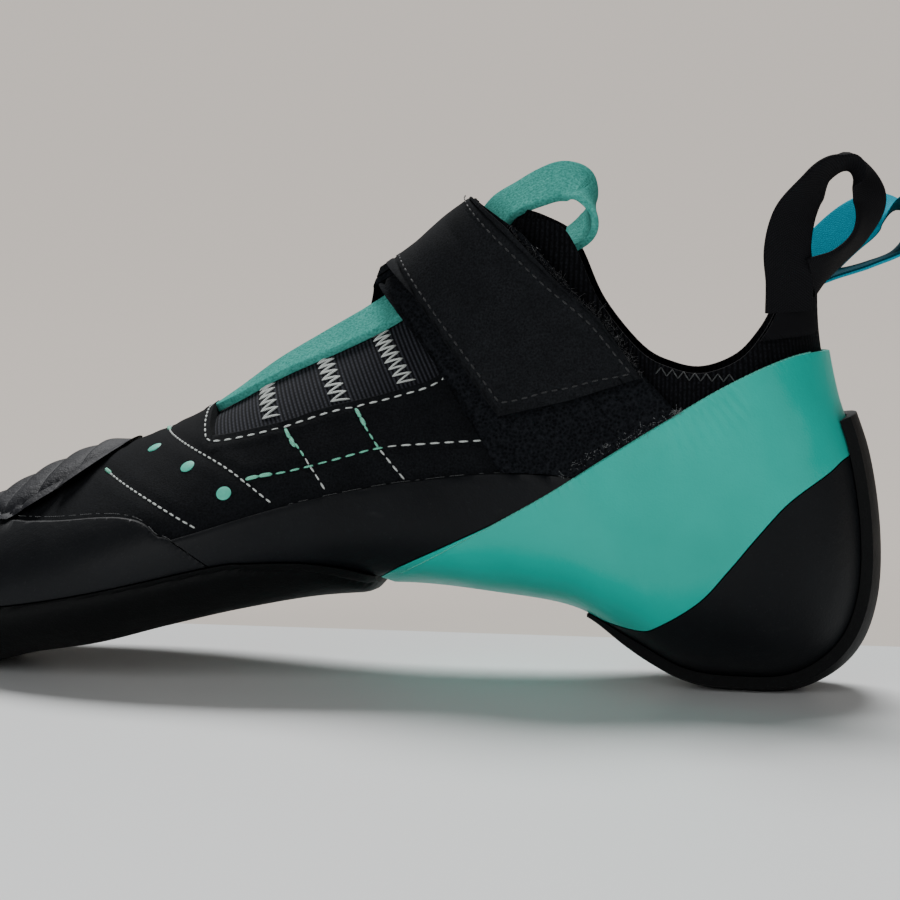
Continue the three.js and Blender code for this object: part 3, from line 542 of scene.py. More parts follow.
class Finish:
    """A principled shader with textures laid out in the shoe's own millimetres."""

    def __init__(self, name, color, roughness, **sockets):
        self.material = bpy.data.materials.new(name)
        self.material.use_nodes = True
        self.tree = self.material.node_tree
        self.shader = self.tree.nodes["Principled BSDF"]
        self.set(Base_Color=rgb(color), Roughness=roughness, **sockets)
        place = self.add("ShaderNodeTexCoord").outputs["Object"]
        self.mm = self.add("ShaderNodeVectorMath", operation="SCALE", Vector=place, Scale=1000.0).outputs[0]
        self.normal = None

    def set(self, **sockets):
        for name, value in sockets.items():
            self.shader.inputs[name.replace("_", " ")].default_value = value

    def feed(self, socket, value):
        if isinstance(value, bpy.types.NodeSocket):
            self.tree.links.new(value, socket)
        else:
            socket.default_value = value

    def add(self, kind, inputs=(), **values):
        node = self.tree.nodes.new(kind)
        for name, value in values.items():
            if name in node.inputs:
                self.feed(node.inputs[name], value)
            else:
                setattr(node, name, value)
        for i, value in enumerate(inputs):
            if value is not None:
                self.feed(node.inputs[i], value)
        return node

    def math(self, operation, *inputs):
        return self.add("ShaderNodeMath", inputs, operation=operation).outputs[0]

    def times(self, first, second):
        return self.math("MULTIPLY", first, second)

    def linear(self, value, slope, start):
        return self.math("MULTIPLY_ADD", value, slope, start)

    def scaled(self, stretch):
        return self.add("ShaderNodeVectorMath", (self.mm, stretch), operation="MULTIPLY").outputs[0]

    def noise(self, size, detail=2.0, stretch=None):
        """Cloudy value with features of a size in millimetres."""
        where = self.scaled(stretch) if stretch else self.mm
        return self.add("ShaderNodeTexNoise", Vector=where, Scale=1.0 / size, Detail=detail).outputs[0]

    def cells(self, size):
        return self.add("ShaderNodeTexVoronoi", Vector=self.mm, Scale=1.0 / size).outputs[0]

    def ramp(self, value, low, high, to_low=0.0, to_high=1.0):
        return self.add("ShaderNodeMapRange", (value, low, high, to_low, to_high)).outputs[0]

    def wave(self, value, pitch):
        """0 to 1 and back over a pitch in millimetres."""
        return self.linear(self.math("SINE", self.times(value, 2 * math.pi / pitch)), 0.5, 0.5)

    def ribs(self, direction, pitch):
        along = self.add("ShaderNodeVectorMath", (self.mm, direction), operation="DOT_PRODUCT")
        return self.wave(along.outputs["Value"], pitch)

    def mix(self, factor, first, second):
        node = self.tree.nodes.new("ShaderNodeMix")
        node.data_type = "RGBA"
        for index, value in ((0, factor), (6, first), (7, second)):
            self.feed(node.inputs[index], rgb(value) if isinstance(value, str) else value)
        return node.outputs[2]

    def color(self, value):
        self.feed(self.shader.inputs["Base Color"], value)

    def rough(self, value):
        self.feed(self.shader.inputs["Roughness"], value)

    def bump(self, height, depth):
        """Adds relief of a depth in millimetres."""
        node = self.add("ShaderNodeBump", Height=height, Distance=depth * MM, Strength=1.0)
        if self.normal is not None:
            self.feed(node.inputs["Normal"], self.normal)
        self.normal = node.outputs[0]
        self.feed(self.shader.inputs["Normal"], self.normal)

    def axis(self, name):
        return self.add("ShaderNodeSeparateXYZ", (self.mm,)).outputs[name]


def rubber(name, dark, light, roughness, grain=0.05, specular=0.5):
    """Satin rubber with a fine grain, cloudy gloss and pale scuffs."""
    f = Finish(name, dark, roughness, Specular_IOR_Level=specular)
    cloud, speck = f.noise(14, 4), f.noise(0.5, 3)
    tone = f.mix(f.ramp(cloud, 0.3, 0.75), dark, light)
    scuff = f.times(f.ramp(f.noise(3.0, 6, (0.35, 1, 1)), 0.63, 0.75), f.ramp(cloud, 0.45, 0.7))
    tone = f.mix(f.times(scuff, 0.05), tone, "#6b6d6c")
    f.color(f.mix(f.times(f.ramp(speck, 0.62, 0.8), 0.05), tone, "#7d8080"))
    gloss = f.ramp(cloud, 0.2, 0.8, roughness - 0.07, roughness + 0.09)
    f.rough(f.linear(scuff, 0.12, gloss))
    f.bump(speck, grain)
    f.bump(f.noise(2.2, 3), grain * 1.6)
    return f


def suede(name, dark, light, nap=0.14, size=0.45):
    """Brushed leather: a mottled nap with a soft sheen."""
    f = Finish(name, dark, 0.95, Specular_IOR_Level=0.08)
    fine, patch = f.noise(size, 4), f.noise(7, 3)
    tone = f.mix(f.ramp(fine, 0.3, 0.72), dark, light)
    f.color(f.mix(f.times(f.ramp(patch, 0.35, 0.7), 0.35), tone, dark))
    f.bump(fine, nap)
    return f


# The ankle's middle and radius, round which the knit's ribs stand
ANKLE_X = 65.0
ANKLE_RADIUS = 32.0


def knit(name, dark, light, pitch):
    """Ribbed knit round the ankle."""
    f = Finish(name, dark, 0.95, Specular_IOR_Level=0.06)
    x = f.math("SUBTRACT", f.axis("X"), ANKLE_X)
    around = f.times(f.math("ARCTAN2", f.axis("Y"), x), ANKLE_RADIUS)
    rib, loops = f.wave(around, pitch), f.wave(f.axis("Z"), 0.9)
    height = f.times(f.ramp(rib, 0, 0.8), f.linear(loops, 0.35, 0.65))
    f.color(f.mix(f.times(height, f.ramp(f.noise(0.6, 3), 0.3, 0.7)), dark, light))
    f.bump(height, 0.22)
    f.bump(f.noise(0.35, 3), 0.08)
    return f


def elastic(name, dark, light, pitch):
    """Ribbed elastic; its ribs go down the side of the foot."""
    f = Finish(name, dark, 0.9, Specular_IOR_Level=0.1)
    rib = f.ribs((0.875, 0.0, 0.48), pitch)
    cross = f.ribs((-0.48, 0.0, 0.875), 0.7)
    height = f.times(f.ramp(rib, 0.1, 0.9), f.linear(cross, 0.3, 0.7))
    f.color(f.mix(f.times(height, f.ramp(f.noise(0.8, 4), 0.2, 0.7, 0.5, 1)), dark, light))
    f.bump(height, 0.2)
    return f


def webbing(name, dark, light, back=None):
    """Woven tape, ribbed across, with a tighter edge; its back face may be given darker colours as painted
    shade.
    """
    f = Finish(name, dark, 0.85, Specular_IOR_Level=0.08)
    weave = f.add("ShaderNodeAttribute", attribute_name="weave").outputs["Vector"]
    where = f.add("ShaderNodeSeparateXYZ", (weave,))
    across, along, face = (where.outputs[k] for k in "XYZ")
    rib = f.wave(f.linear(f.math("ABSOLUTE", across), 0.7, along), 0.62)
    yarn = f.wave(across, 0.45)
    height = f.times(f.linear(rib, 0.6, 0.4), f.linear(yarn, 0.5, 0.5))
    tone = f.mix(height, dark, light)
    # The back colours are painted shade on the face of the tape turned from the light
    if back:
        tone = f.mix(f.ramp(face, -0.2, 0.2), f.mix(height, *back), tone)
    f.color(tone)
    f.bump(height, 0.1)
    return f


def thread(name, color, shade):
    """Twisted yarn."""
    f = Finish(name, color, 0.7, Sheen_Weight=0.2, Specular_IOR_Level=0.4)
    twist = f.ribs((0.7, 0.2, 0.7), 0.35)
    f.color(f.mix(twist, shade, color))
    f.bump(twist, 0.04)
    return f


def fuzz(name, dark, light):
    """Loop pile of a hook-and-loop panel."""
    f = Finish(name, dark, 1.0, Specular_IOR_Level=0.05)
    height = f.linear(f.cells(0.75), 0.6, f.times(f.noise(0.5, 5), 0.7))
    f.color(f.mix(f.ramp(height, 0.35, 1.0), dark, light))
    f.bump(height, 0.45)
    return f


rand_rubber = rubber("rand_rubber", "#0d0f12", "#121417", 0.5, specular=0.14)
sole_rubber = rubber("sole_rubber", "#060708", "#0a0b0c", 0.62, grain=0.09, specular=0.12)
patch_rubber = rubber("patch_rubber", "#1c1d21", "#28292d", 0.62, grain=0.16, specular=0.14)
turquoise_rubber = rubber("turquoise_rubber", "#0fb3a3", "#18bcac", 0.45, grain=0.04, specular=0.25)
black_suede = suede("black_suede", "#0a0b0d", "#1b1d20")
turquoise_suede = suede("turquoise_suede", "#2f887d", "#60bdb1", nap=0.18, size=0.55)
black_knit = knit("black_knit", "#08080a", "#1d1e22", pitch=1.2)
# A lighter copy of the side's black suede for the strap; the extra lightness is painted light
lit_strap_suede = suede("lit_strap_suede", "#0f1012", "#232528")
grey_elastic = elastic("grey_elastic", "#111215", "#3d3f46", pitch=0.95)
black_tape = webbing("black_tape", "#060607", "#18181b")
# The blue tape's much darker back colours are painted shade on the face turned from the light
blue_tape = webbing("blue_tape", "#0486a0", "#09a9c2", back=("#02303b", "#064c5a"))
black_fuzz = fuzz("black_fuzz", "#060709", "#202226")
board = suede("board", "#4a4b4c", "#6d6d6b", nap=0.05, size=1.2)
mint_thread = thread("mint_thread", "#8fe3c6", "#45b391")
white_thread = thread("white_thread", "#e6ebe8", "#a9b0ac")
glue = thread("glue", "#4d5051", "#1f2122")
# Pale turquoise for the line along the sling's top edge: a painted highlight
edge_highlight = thread("edge_highlight", "#4fc4b0", "#2aa391")
grey_thread = thread("grey_thread", "#2b2d2f", "#151618")
fibre = thread("fibre", "#2c2d2f", "#141517")
pale_fibre = thread("pale_fibre", "#8d9092", "#4b4d4f")
mint_print = Finish("mint_print", "#6fd9c0", 0.55)
mint_print.color(mint_print.mix(mint_print.noise(0.6, 3), "#3fbda4", "#5fd0b6"))
mint_print.bump(mint_print.noise(0.4, 3), 0.05)


def dress(thing, finish, slot, *nodes):
    """Gives a piece its finish and the nodes that it stands for; its slot is not used."""
    thing.data.materials.clear()
    thing.data.materials.append(finish.material)
    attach(thing, "root")
    if nodes:
        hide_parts(*nodes)
        thing.name = nodes[0] + "_dressed"
    return thing


# Layers on the last

def rounded(near, radius, low):
    """1 on the open surface, down to low at an edge, as a round in between."""
    s = np.clip(near / radius, 0, 1)
    return low + (1 - low) * np.sqrt(1 - (1 - s) ** 2)


def lip(point, *lines, radius, low):
    return rounded(np.min([distance(line, point) for line in lines], axis=0), radius, low)


UNEVEN_SIZE = 9.0


def uneven(point, amount):
    """Slow unevenness of a hand-lasted shoe."""
    x, y, z = (point[..., k] / UNEVEN_SIZE for k in range(3))
    wave = np.sin(x * 1.3 + 1.1 * np.sin(z)) + np.sin(z * 1.7 + y) + np.sin(x * 0.6 - z * 0.9 + y * 1.2)
    return amount * wave / 3


# Where the layers lie over the last
SLING_OUT = GAP + SLING_THICKNESS
TONGUE_OUT = -(UPPER_WALL + GAP)
PANEL_IN = GAP + GAP
PANEL_OUT = PANEL_IN + PANEL_THICKNESS
HOOK_IN = PANEL_OUT + GAP
HOOK_OUT = HOOK_IN + HOOK_THICKNESS
STRAP_IN = HOOK_OUT + GAP
STRAP_OUT = STRAP_IN + STRAP_THICKNESS
# How far the throat runs down the inner side, and where the strap's two halves meet
THROAT_INNER = 0.11 * BALL_WIDTH
SPLIT = 0.02 * BALL_WIDTH
# How far the suede stands over the stitched line round the throat, and the width and height of its hem
THROAT_LIP = 1.3
HEM_WIDTH = 3.6
HEM_HEIGHT = 0.3

sole_edge = edge_line(SOLE_LINE)
toe_edge = edge_line(TOE_RAND_TOP)
patch_edge = edge_line(PATCH_EDGE)
side_edge = edge_line(SIDE_RAND_TOP)
sling_edge = edge_line(SLING_TOP)
cup_edge = edge_line(SLING_LOW)
tongue_edge = edge_line(TONGUE_TOP)
throat_edge = edge_line(THROAT_EDGE, THROAT_LIP)
seam_lines = {name: spline(side(rows), EDGE_STEPS) for name, rows in SEAMS.items()}


def swell(near, height, width):
    """Rise beside a line; a height under 0 makes it a dip."""
    return height * np.exp(-(near / width) ** 2)


def upper_skin(place, turn, point):
    """The upper's outside: dips along the seams of the outer side and the hem round the throat."""
    outer = turn < 0.5
    grow = uneven(point, 0.12)
    for line in seam_lines.values():
        near = np.where(outer, distance(line, point), FAR)
        grow = grow + swell(near, -0.3, 0.9) + swell(near - 2.4, 0.14, 1.2)
    edge = np.where(outer, distance(throat_edge, point), FAR)
    return grow + HEM_HEIGHT * ease((HEM_WIDTH - edge) / 0.9) + swell(edge - THROAT_LIP, -0.22, 0.6)


def make_upper():
    rim = body("rim", -UPPER_WALL / 2)
    cut(rim, body("rim_inside", -RIM_WALL))
    band = below(COLLAR_EDGE)
    cut(band, below(COLLAR_EDGE, -RIM_DEPTH))
    keep(band, below(RIM_RANGE))
    keep(rim, band)
    places = ladder((0, 5, 30), (5, 12, 130), (12, 23, 110))
    turns = ladder((0, 0.12, 12), (0.12, 0.5, 110), (0.5, 0.88, 60), (0.88, 1, 12))
    upper = body("upper", upper_skin, places, turns)
    keep(upper, below(COLLAR_EDGE))
    cut(upper, body("inside", -UPPER_WALL, ladder((0, LAST_ROW, 90)), ladder((0, 1, 90))))
    combine(upper, "UNION", rim)
    cut(upper, above(THROAT_EDGE, THROAT_LIP, -FAR, THROAT_INNER), lasting())
    return smooth(upper)


def tongue_skin(place, turn, point):
    """The tongue's outside, drawn in a little before its top edge."""
    drawn_in = 0.2 * ease((place - 15.5) / 2.0)
    edge = np.minimum(distance(tongue_edge, point) / 3.0, 1)
    return TONGUE_OUT - drawn_in * (1 - edge)


def make_tongue():
    places = ladder((0, 6, 6), (6, 23, 170))
    turns = ladder((0, 0.2, 6), (0.2, 0.8, 110), (0.8, 1, 6))
    tongue = body("tongue", tongue_skin, places, turns)
    cut(tongue, body("inside", TONGUE_OUT - TONGUE_WALL))
    keep(tongue, above(THROAT_EDGE, -TONGUE_LAP, -FAR, THROAT_INNER + TONGUE_LAP), below(TONGUE_TOP))
    return smooth(tongue)


def layer_piece(name, inside, skin, places, turns, keeps=(), cuts=()):
    """Layer between two offsets from the last; its inner face has half as many points each way."""
    made = body(name, skin, places, turns)
    keep(made, *keeps)
    cut(made, body("inside", inside, thinned(places), thinned(turns)), *cuts)
    return smooth(made)


def outsole_skin(place, turn, point):
    from_bottom = np.minimum(turn, 1 - turn)
    thick = OUTSOLE_THICKNESS + (OUTSOLE_EDGE - OUTSOLE_THICKNESS) * ease((from_bottom - 0.06) / 0.14)
    rear = rounded(-SOLE_END * LAST_LENGTH - point[..., 0], radius=5, low=0.4)
    return GAP + thick * lip(point, sole_edge, radius=1.3, low=0.62) * rear


def rand_skin(edge):
    def skin(place, turn, point):
        return GAP + RAND_THICKNESS * lip(point, edge, radius=1.4, low=0.5) + uneven(point, 0.1)
    return skin


# Wrinkles of the sling under the ankle: middle, length and lean
WRINKLES = ((-33, 62, 15, 0.5), (-27, 66, 13, 0.6), (-44, 52, 14, 0.45))


def sling_skin(place, turn, point):
    grow = GAP + SLING_THICKNESS * lip(point, sling_edge, cup_edge, radius=1.0, low=0.85)
    for x, z, run, lean in WRINKLES:
        dx, dz = point[..., 0] - x, point[..., 2] - z
        along, off = (dx + dz * lean) / run, dz - dx * lean
        grow = grow + 0.16 * np.exp(-along ** 2) * np.exp(-(off / 1.5) ** 2)
    return grow + uneven(point, 0.08)


# Front end of the heel strip in shares of the length, the run of its slope and the round of its edges
STRIP_START = 0.268
STRIP_SLOPE = 16
STRIP_ROUND = 1.6


def strip_skin(place, turn, point):
    past = np.abs(point[..., 1]) - HEEL_STRIP_WIDTH / 2 + STRIP_ROUND
    edge = 1 - np.sqrt(1 - np.clip(past / STRIP_ROUND, 0, 1) ** 2)
    start = ease((STRIP_START * LAST_LENGTH + point[..., 0]) / STRIP_SLOPE)
    return SLING_OUT + GAP + HEEL_RUBBER * (1 - 0.45 * edge) * (0.3 + 0.7 * start)


# Ribs of the toe patch, between these shares of the length, and the patch's end toward the throat
RIBS_FROM = 0.86
RIBS_TO = 0.68
PATCH_END = ((0.757, -0.500), (0.757, 0.425), (0.733, 0.490), (0.733, 1.500))


def patch_skin(place, turn, point):
    """Overlapping ribs, each with a round front and a long fall behind."""
    over = column("over", place)
    along = (RIBS_FROM - over) / (RIBS_FROM - RIBS_TO) * RIBS_SHOWN + RIB_SWEEP * (turn - 0.5) ** 2
    part = along - np.floor(along)
    wave = np.sin(math.pi * part ** 0.55) ** 0.7 - swell(np.minimum(part, 1 - part), 0.35, 0.08)
    wave = wave * ease((0.905 - over) / 0.03)
    edge = lip(point, patch_edge, toe_edge, radius=1.8, low=0.2)
    edge = edge * (0.08 + 0.92 * ease((over - 0.722) / 0.055))
    return GAP + (PATCH_THICKNESS + 1.5 * PATCH_RIB * wave) * edge


def ridge_rise(turn):
    """How far the closure stands up over the tongue's ridge."""
    return STRAP_RISE * ease(1 - np.abs(turn - 0.48) / 0.16)


def over_ridge(height):
    return lambda place, turn, point: height + ridge_rise(turn)


def raised(inside, outside, outer_line, inner_line):
    """Outside of a layer of the closure, rounded down at its outlines on the two sides."""
    def skin(place, turn, point):
        edge = np.where(point[..., 1] < SPLIT, distance(outer_line, point), distance(inner_line, point))
        return outside + ridge_rise(turn) - (outside - inside) * (1 - rounded(edge, 1.5, 0.35))
    return skin


def closed(rows):
    line = side(rows)
    return np.vstack([line, line[:1]])


STRAP_PLACES = ladder((0, 7, 7), (7, 20, 210), (20, 23, 3))
STRAP_TURNS = ladder((0, 0.14, 5), (0.14, 0.78, 200), (0.78, 1, 6))


def strap_layer(name, inside, outside, outer_rows, inner_rows=None):
    shape = prism(side(outer_rows), -FAR, SPLIT if inner_rows else 0)
    if inner_rows:
        combine(shape, "UNION", prism(side(inner_rows), SPLIT, FAR))
    skin = raised(inside, outside, closed(outer_rows), closed(inner_rows or outer_rows))
    return layer_piece(name, over_ridge(inside), skin, STRAP_PLACES, STRAP_TURNS, [shape])


# Tapes

def centripetal(points, t):
    """Points of a smooth path through the given ones, which doesn't loop at close neighbours."""
    p = np.asarray(points, float)
    p = np.vstack([2 * p[0] - p[1], p, 2 * p[-1] - p[-2]])
    i = np.minimum(t.astype(int), len(p) - 4)
    w = (t - i)[:, None]
    p0, p1, p2, p3 = (p[i + k] for k in range(4))
    pairs = ((p0, p1), (p1, p2), (p2, p3))
    d0, d1, d2 = (np.maximum(((b - a) ** 2).sum(1) ** 0.25, 1e-4)[:, None] for a, b in pairs)
    m1 = ((p1 - p0) / d0 - (p2 - p0) / (d0 + d1) + (p2 - p1) / d1) * d1
    m2 = ((p2 - p1) / d1 - (p3 - p1) / (d1 + d2) + (p3 - p2) / d2) * d1
    return (2*p1 - 2*p2 + m1 + m2) * w**3 + (3*p2 - 3*p1 - 2*m1 - m2) * w**2 + m1 * w + p1


RING = 24
TAPE_STEPS = 12


def tape(name, points, across, size, width, thickness, square=6.0, crown=3.0):
    """Flat tape with rounded edges along a path; keeps where each point lies on it as "weave"."""
    count = len(points)
    t = np.linspace(0, count - 1, (count - 1) * TAPE_STEPS + 1)
    path = centripetal(points, t)
    wide = spline(across, TAPE_STEPS)
    half = np.interp(t, np.arange(count), size) * width / 2
    ahead = unit(np.gradient(path, axis=0))
    wide = unit(wide - ahead * (wide * ahead).sum(1, keepdims=True))
    up = np.cross(wide, ahead)
    angle = np.linspace(0, 2 * math.pi, RING, endpoint=False) + math.pi / RING
    c, s = np.cos(angle), np.sin(angle)
    flat = np.sign(c) * np.abs(c) ** (2 / square)
    tall = np.sign(s) * np.abs(s) ** (2 / crown)
    ring = path[:, None] + wide[:, None] * (flat[None, :, None] * half[:, None, None])
    ring = ring + up[:, None] * (tall[None, :, None] * thickness / 2)
    rows = len(path)
    gone = np.concatenate([[0], np.cumsum(np.linalg.norm(np.diff(path, axis=0), axis=1))])
    weave = np.stack([
        flat[None, :] * half[:, None], np.repeat(gone[:, None], RING, 1),
        np.repeat(np.sign(s)[None, :], rows, 0)], -1)
    made = make_object(name, ring.reshape(-1, 3), tube_faces(rows, RING))
    attribute = made.data.attributes.new("weave", "FLOAT_VECTOR", "POINT")
    attribute.data.foreach_set("vector", weave.reshape(-1).astype(np.float32))
    return outside_out(smooth(made, TAPE_SHARP))


def across_at(place, turn):
    return unit(surface(place, turn - 0.02) - surface(place, turn + 0.02))


def pull_loop(name, rows, sign):
    """Tape of a heel pull loop; sign is -1 on the outer side and 1 on the inner side."""
    place, turn, swing = LOOP_FOOT
    turn = turn if sign < 0 else 1 - turn
    foot = surface(place, turn, GAP + TAPE_THICKNESS)
    table = np.array(((0, 0, 0, 0, swing),) + rows, float)
    points = foot + table[:, :3] * [1, sign, 1] * LOOP_HEIGHT
    rise, swung = np.radians(table[:, 3]), np.radians(table[:, 4])
    forward = np.cos(swung)
    across = np.stack([np.cos(rise) * forward, -sign * np.sin(swung), np.sin(rise) * forward], 1)
    size = np.ones(len(points))
    if sign > 0:
        size[:2] = 0.75
    return tape(name, points, across, size, TAPE_WIDTH, TAPE_THICKNESS)


def loop_base_skin(place, turn, point):
    return GAP + TAPE_THICKNESS * lip(point, closed(LOOP_BASE), radius=1.0, low=0.5)


def loop_base(name, sign):
    low, high = (-FAR, 0) if sign < 0 else (0, FAR)
    places = ladder((0, 20, 20), (20, 23, 60))
    turns = ladder((0, 0.05, 2), (0.05, 0.95, 160), (0.95, 1, 2))
    keeps = [prism(side(LOOP_BASE), low, high), below(COLLAR_EDGE, -0.4)]
    return layer_piece(name, GAP, loop_base_skin, places, turns, keeps)


def tongue_strip():
    offset = TONGUE_OUT + GAP + STRIP_THICKNESS / 2
    place, turn, size, roll = (np.array(c, float) for c in zip(*TONGUE_STRIP))
    lift = STRIP_WIDTH / 2 * size * np.sin(np.radians(roll)) * 0.6
    points = surface(place, turn, offset + lift)
    loop = np.array(TONGUE_LOOP)
    points = np.vstack([points, points[-1] + loop[:, :3] * [1, -1, 1] * TONGUE_LOOP_HEIGHT])
    flat, over = across_at(place, turn), outward(place, turn)
    flat = np.vstack([flat, np.repeat(flat[-1:], len(loop), 0)])
    # On the loop the tape leans from the upright, not from the tongue under it
    over = np.vstack([over, np.tile([0, 0, 1], (len(loop), 1))])
    roll = np.radians(np.concatenate([roll, loop[:, 3]]))[:, None]
    across = flat * np.cos(roll) - over * np.sin(roll)
    size = np.concatenate([size, np.ones(len(loop))])
    return tape("tongue_strip_suede", points, across, size, STRIP_WIDTH, STRIP_THICKNESS, 24, 9)


# Threads: short rounded strands, joined into one mesh

# Places along a strand from its middle, with its thickness there
STRAND = ((-0.5, 0.35), (-0.32, 0.9), (0, 1), (0.32, 0.9), (0.5, 0.35))
STRAND_ANGLES = np.linspace(0, 2 * math.pi, 6, endpoint=False)
FIBRE_ANGLES = (0, 2.09, 4.19)


def ring_round(middle, radius, wide, over, angles):
    """Points round the middle of each of many strands."""
    return np.stack([middle + radius * (wide * math.cos(a) + over * math.sin(a)) for a in angles], 1)


def joined(name, rings):
    """Many thin tubes as one mesh, from their rings in turn."""
    points = np.stack(rings, 1)
    count, rows, around = points.shape[:3]
    first = np.arange(count) * rows * around
    faces = tube_faces(rows, around) + first[:, None, None]
    return outside_out(smooth(make_object(name, points.reshape(-1, 3), faces.reshape(-1, 3)), THREAD_SHARP))


def strands(name, rows, radius, bow=0.3):
    """Strands from starts, ends and normals, bowed outward by a share of the radius."""
    starts, ends, normals = rows
    ahead = unit(ends - starts)
    over = unit(normals - ahead * (normals * ahead).sum(1, keepdims=True))
    wide = np.cross(over, ahead)
    rings = []
    for t, thick in STRAND:
        middle = starts + (ends - starts) * (t + 0.5) + over * radius * bow * (1 - (2 * t) ** 2)
        rings.append(ring_round(middle, radius * thick, wide, over, STRAND_ANGLES))
    return joined(name, rings)


SIDE_PITCH = 0.5


def on_side(line, offset=0.0, inner=False):
    """A line of the side view laid on the last: points and outward directions."""
    place, turn = locate(evenly(np.asarray(line, float), SIDE_PITCH), inner)
    return surface(place, turn, offset), outward(place, turn)


def stitches(points, normals, pitch, share):
    """Starts, ends and normals of a row of stitches along a line."""
    both = evenly(np.hstack([points, normals]), pitch)
    a, b = both[:-1, :3], both[1:, :3]
    n = unit(both[:-1, 3:] + both[1:, 3:])
    middle, half = (a + b) / 2, (b - a) / 2 * share
    return middle - half, middle + half, n


def join_rows(rows):
    return tuple(np.vstack([row[k] for row in rows]) for k in range(3))


# The pieces

def layer(name, finish, slot, skin, places, turns, keeps, cuts=(), inside=GAP):
    dress(layer_piece(name, inside, skin, places, turns, keeps, cuts), finish, slot, name)


def knit_behind(thing, share, height, slope):
    """Knit on the faces behind a line that leans through a height of the side view."""
    mesh = thing.data
    mesh.materials.append(black_knit.material)
    middle = np.zeros(len(mesh.polygons) * 3, np.float32)
    mesh.polygons.foreach_get("center", middle)
    middle = middle.reshape(-1, 3) / MM - SHIFT
    behind = middle[:, 0] > -share * LAST_LENGTH - (middle[:, 2] - height) * slope
    mesh.polygons.foreach_set("material_index", behind.astype(np.int32))
    mesh.update()



knit_behind(dress(make_upper(), black_suede, "knit", "upper"), 0.345, 40, 0.29)
knit_behind(dress(make_tongue(), grey_elastic, "elastic", "tongue"), 0.405, 75, -0.1)

LOW_TURNS = ladder((0, 0.34, 90), (0.34, 0.66, 10), (0.66, 1, 90))
REAR = -SOLE_END * LAST_LENGTH
layer("outsole", sole_rubber, "sole_rubber", outsole_skin,
      ladder((0, 3, 60), (3, 11, 110), (11, 23, 12)), LOW_TURNS,
      [below(SOLE_LINE), prism([(-FAR, -FAR), (REAR, -FAR), (REAR, FAR), (-FAR, FAR)])], [ground()])
layer("toe_rand", rand_rubber, "rand_rubber", rand_skin(toe_edge),
      ladder((0, 3, 60), (3, 9.5, 110), (9.5, 23, 14)), LOW_TURNS,
      [below(TOE_RAND_TOP)], [below(SOLE_LINE, GAP)])
for name, low, high in (("side_rand_outer", -FAR, 0), ("side_rand_inner", 0, FAR)):
    layer(name, rand_rubber, "rand_rubber", rand_skin(side_edge),
          ladder((0, 6, 6), (6, 15.5, 130), (15.5, 23, 8)),
          ladder((0, 0.02, 1), (0.02, 0.42, 90), (0.42, 0.58, 8), (0.58, 0.98, 90), (0.98, 1, 1)),
          [below(SIDE_RAND_TOP, 0, low, high)],
          [below(TOE_RAND_TOP, GAP), below(SOLE_LINE, GAP), below(SLING_TOP, GAP)])
layer("heel_sling", turquoise_rubber, "turquoise_rubber", sling_skin,
      ladder((0, 9, 9), (9, 23, 180)), ladder((0, 1, 200)),
      [below(SLING_TOP)], [below(SLING_LOW, GAP), below(SOLE_LINE, GAP)])
layer("heel_cup", rand_rubber, "rand_rubber", SLING_OUT,
      ladder((0, 12, 12), (12, 22, 130), (22, 23, 1)), ladder((0, 1, 160)), [below(SLING_LOW)])
layer("heel_strip", sole_rubber, "sole_rubber", strip_skin,
      ladder((0, 12, 12), (12, 22.5, 150), (22.5, 23, 1)),
      ladder((0, 0.12, 70), (0.12, 0.88, 30), (0.88, 1, 70)),
      [below(STRIP_EDGE, 0, -HEEL_STRIP_WIDTH / 2, HEEL_STRIP_WIDTH / 2)], [ground()], SLING_OUT + GAP)
layer("toe_patch", patch_rubber, "rand_rubber", patch_skin,
      ladder((0, 3, 10), (3, 8.5, 190), (8.5, 23, 14)), ladder((0, 0.2, 6), (0.2, 0.8, 140), (0.8, 1, 6)),
      [above(PATCH_EDGE), prism(np.vstack([side(PATCH_END), [(-FAR, FAR), (-FAR, -FAR)]]))],
      [below(TOE_RAND_TOP, GAP)])

# The panel is carried down to the sling and the rand, and the hook layer shows behind the strap
PANEL_TUCKED = PANEL_OUTER[:4] + ((0.345, 0.420), (0.290, 0.400), (0.172, 0.600)) + PANEL_OUTER[6:]
HOOK_OUTER = STRAP_OUTER[:6] + ((0.252, 0.790), (0.283, 0.838), (0.338, 0.952)) + STRAP_OUTER[9:]
strap_base = strap_layer("strap_base", PANEL_IN, PANEL_OUT, PANEL_TUCKED)
cut(strap_base, below(SLING_TOP, GAP, -FAR, 0), below(SIDE_RAND_TOP, GAP, -FAR, 0))
dress(smooth(strap_base), black_fuzz, "black_suede", "strap_base")
dress(strap_layer("strap_hook", HOOK_IN, HOOK_OUT, HOOK_OUTER, STRAP_INNER),
      black_fuzz, "black_suede", "strap_hook")
dress(strap_layer("strap", STRAP_IN, STRAP_OUT, STRAP_OUTER, STRAP_INNER),
      lit_strap_suede, "black_suede", "strap")

dress(tongue_strip(), turquoise_suede, "turquoise_suede", "tongue_strip")
for name, rows, sign, finish, slot in (
        ("pull_loop_outer", LOOP_OUTER, -1, black_tape, "black_tape"),
        ("pull_loop_inner", LOOP_INNER, 1, blue_tape, "blue_tape")):
    dress(pull_loop(name + "_tape", rows, sign), finish, slot, name)
    dress(loop_base(name + "_base", sign), black_tape, slot)

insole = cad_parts["insole"]
insole.data.materials.clear()
insole.data.materials.append(board.material)


# Stitching of the outer side

def seam(name, pitch, share):
    """Stitches along a seam: their pitch and the share of it that shows."""
    return stitches(*on_side(seam_lines[name], upper_skin), pitch, share)


def tack(rows):
    """Start, end and outward direction of a short thick bar tack."""
    points, normals = on_side(side(rows), upper_skin)
    return points[:1], points[-1:], normals[:1]


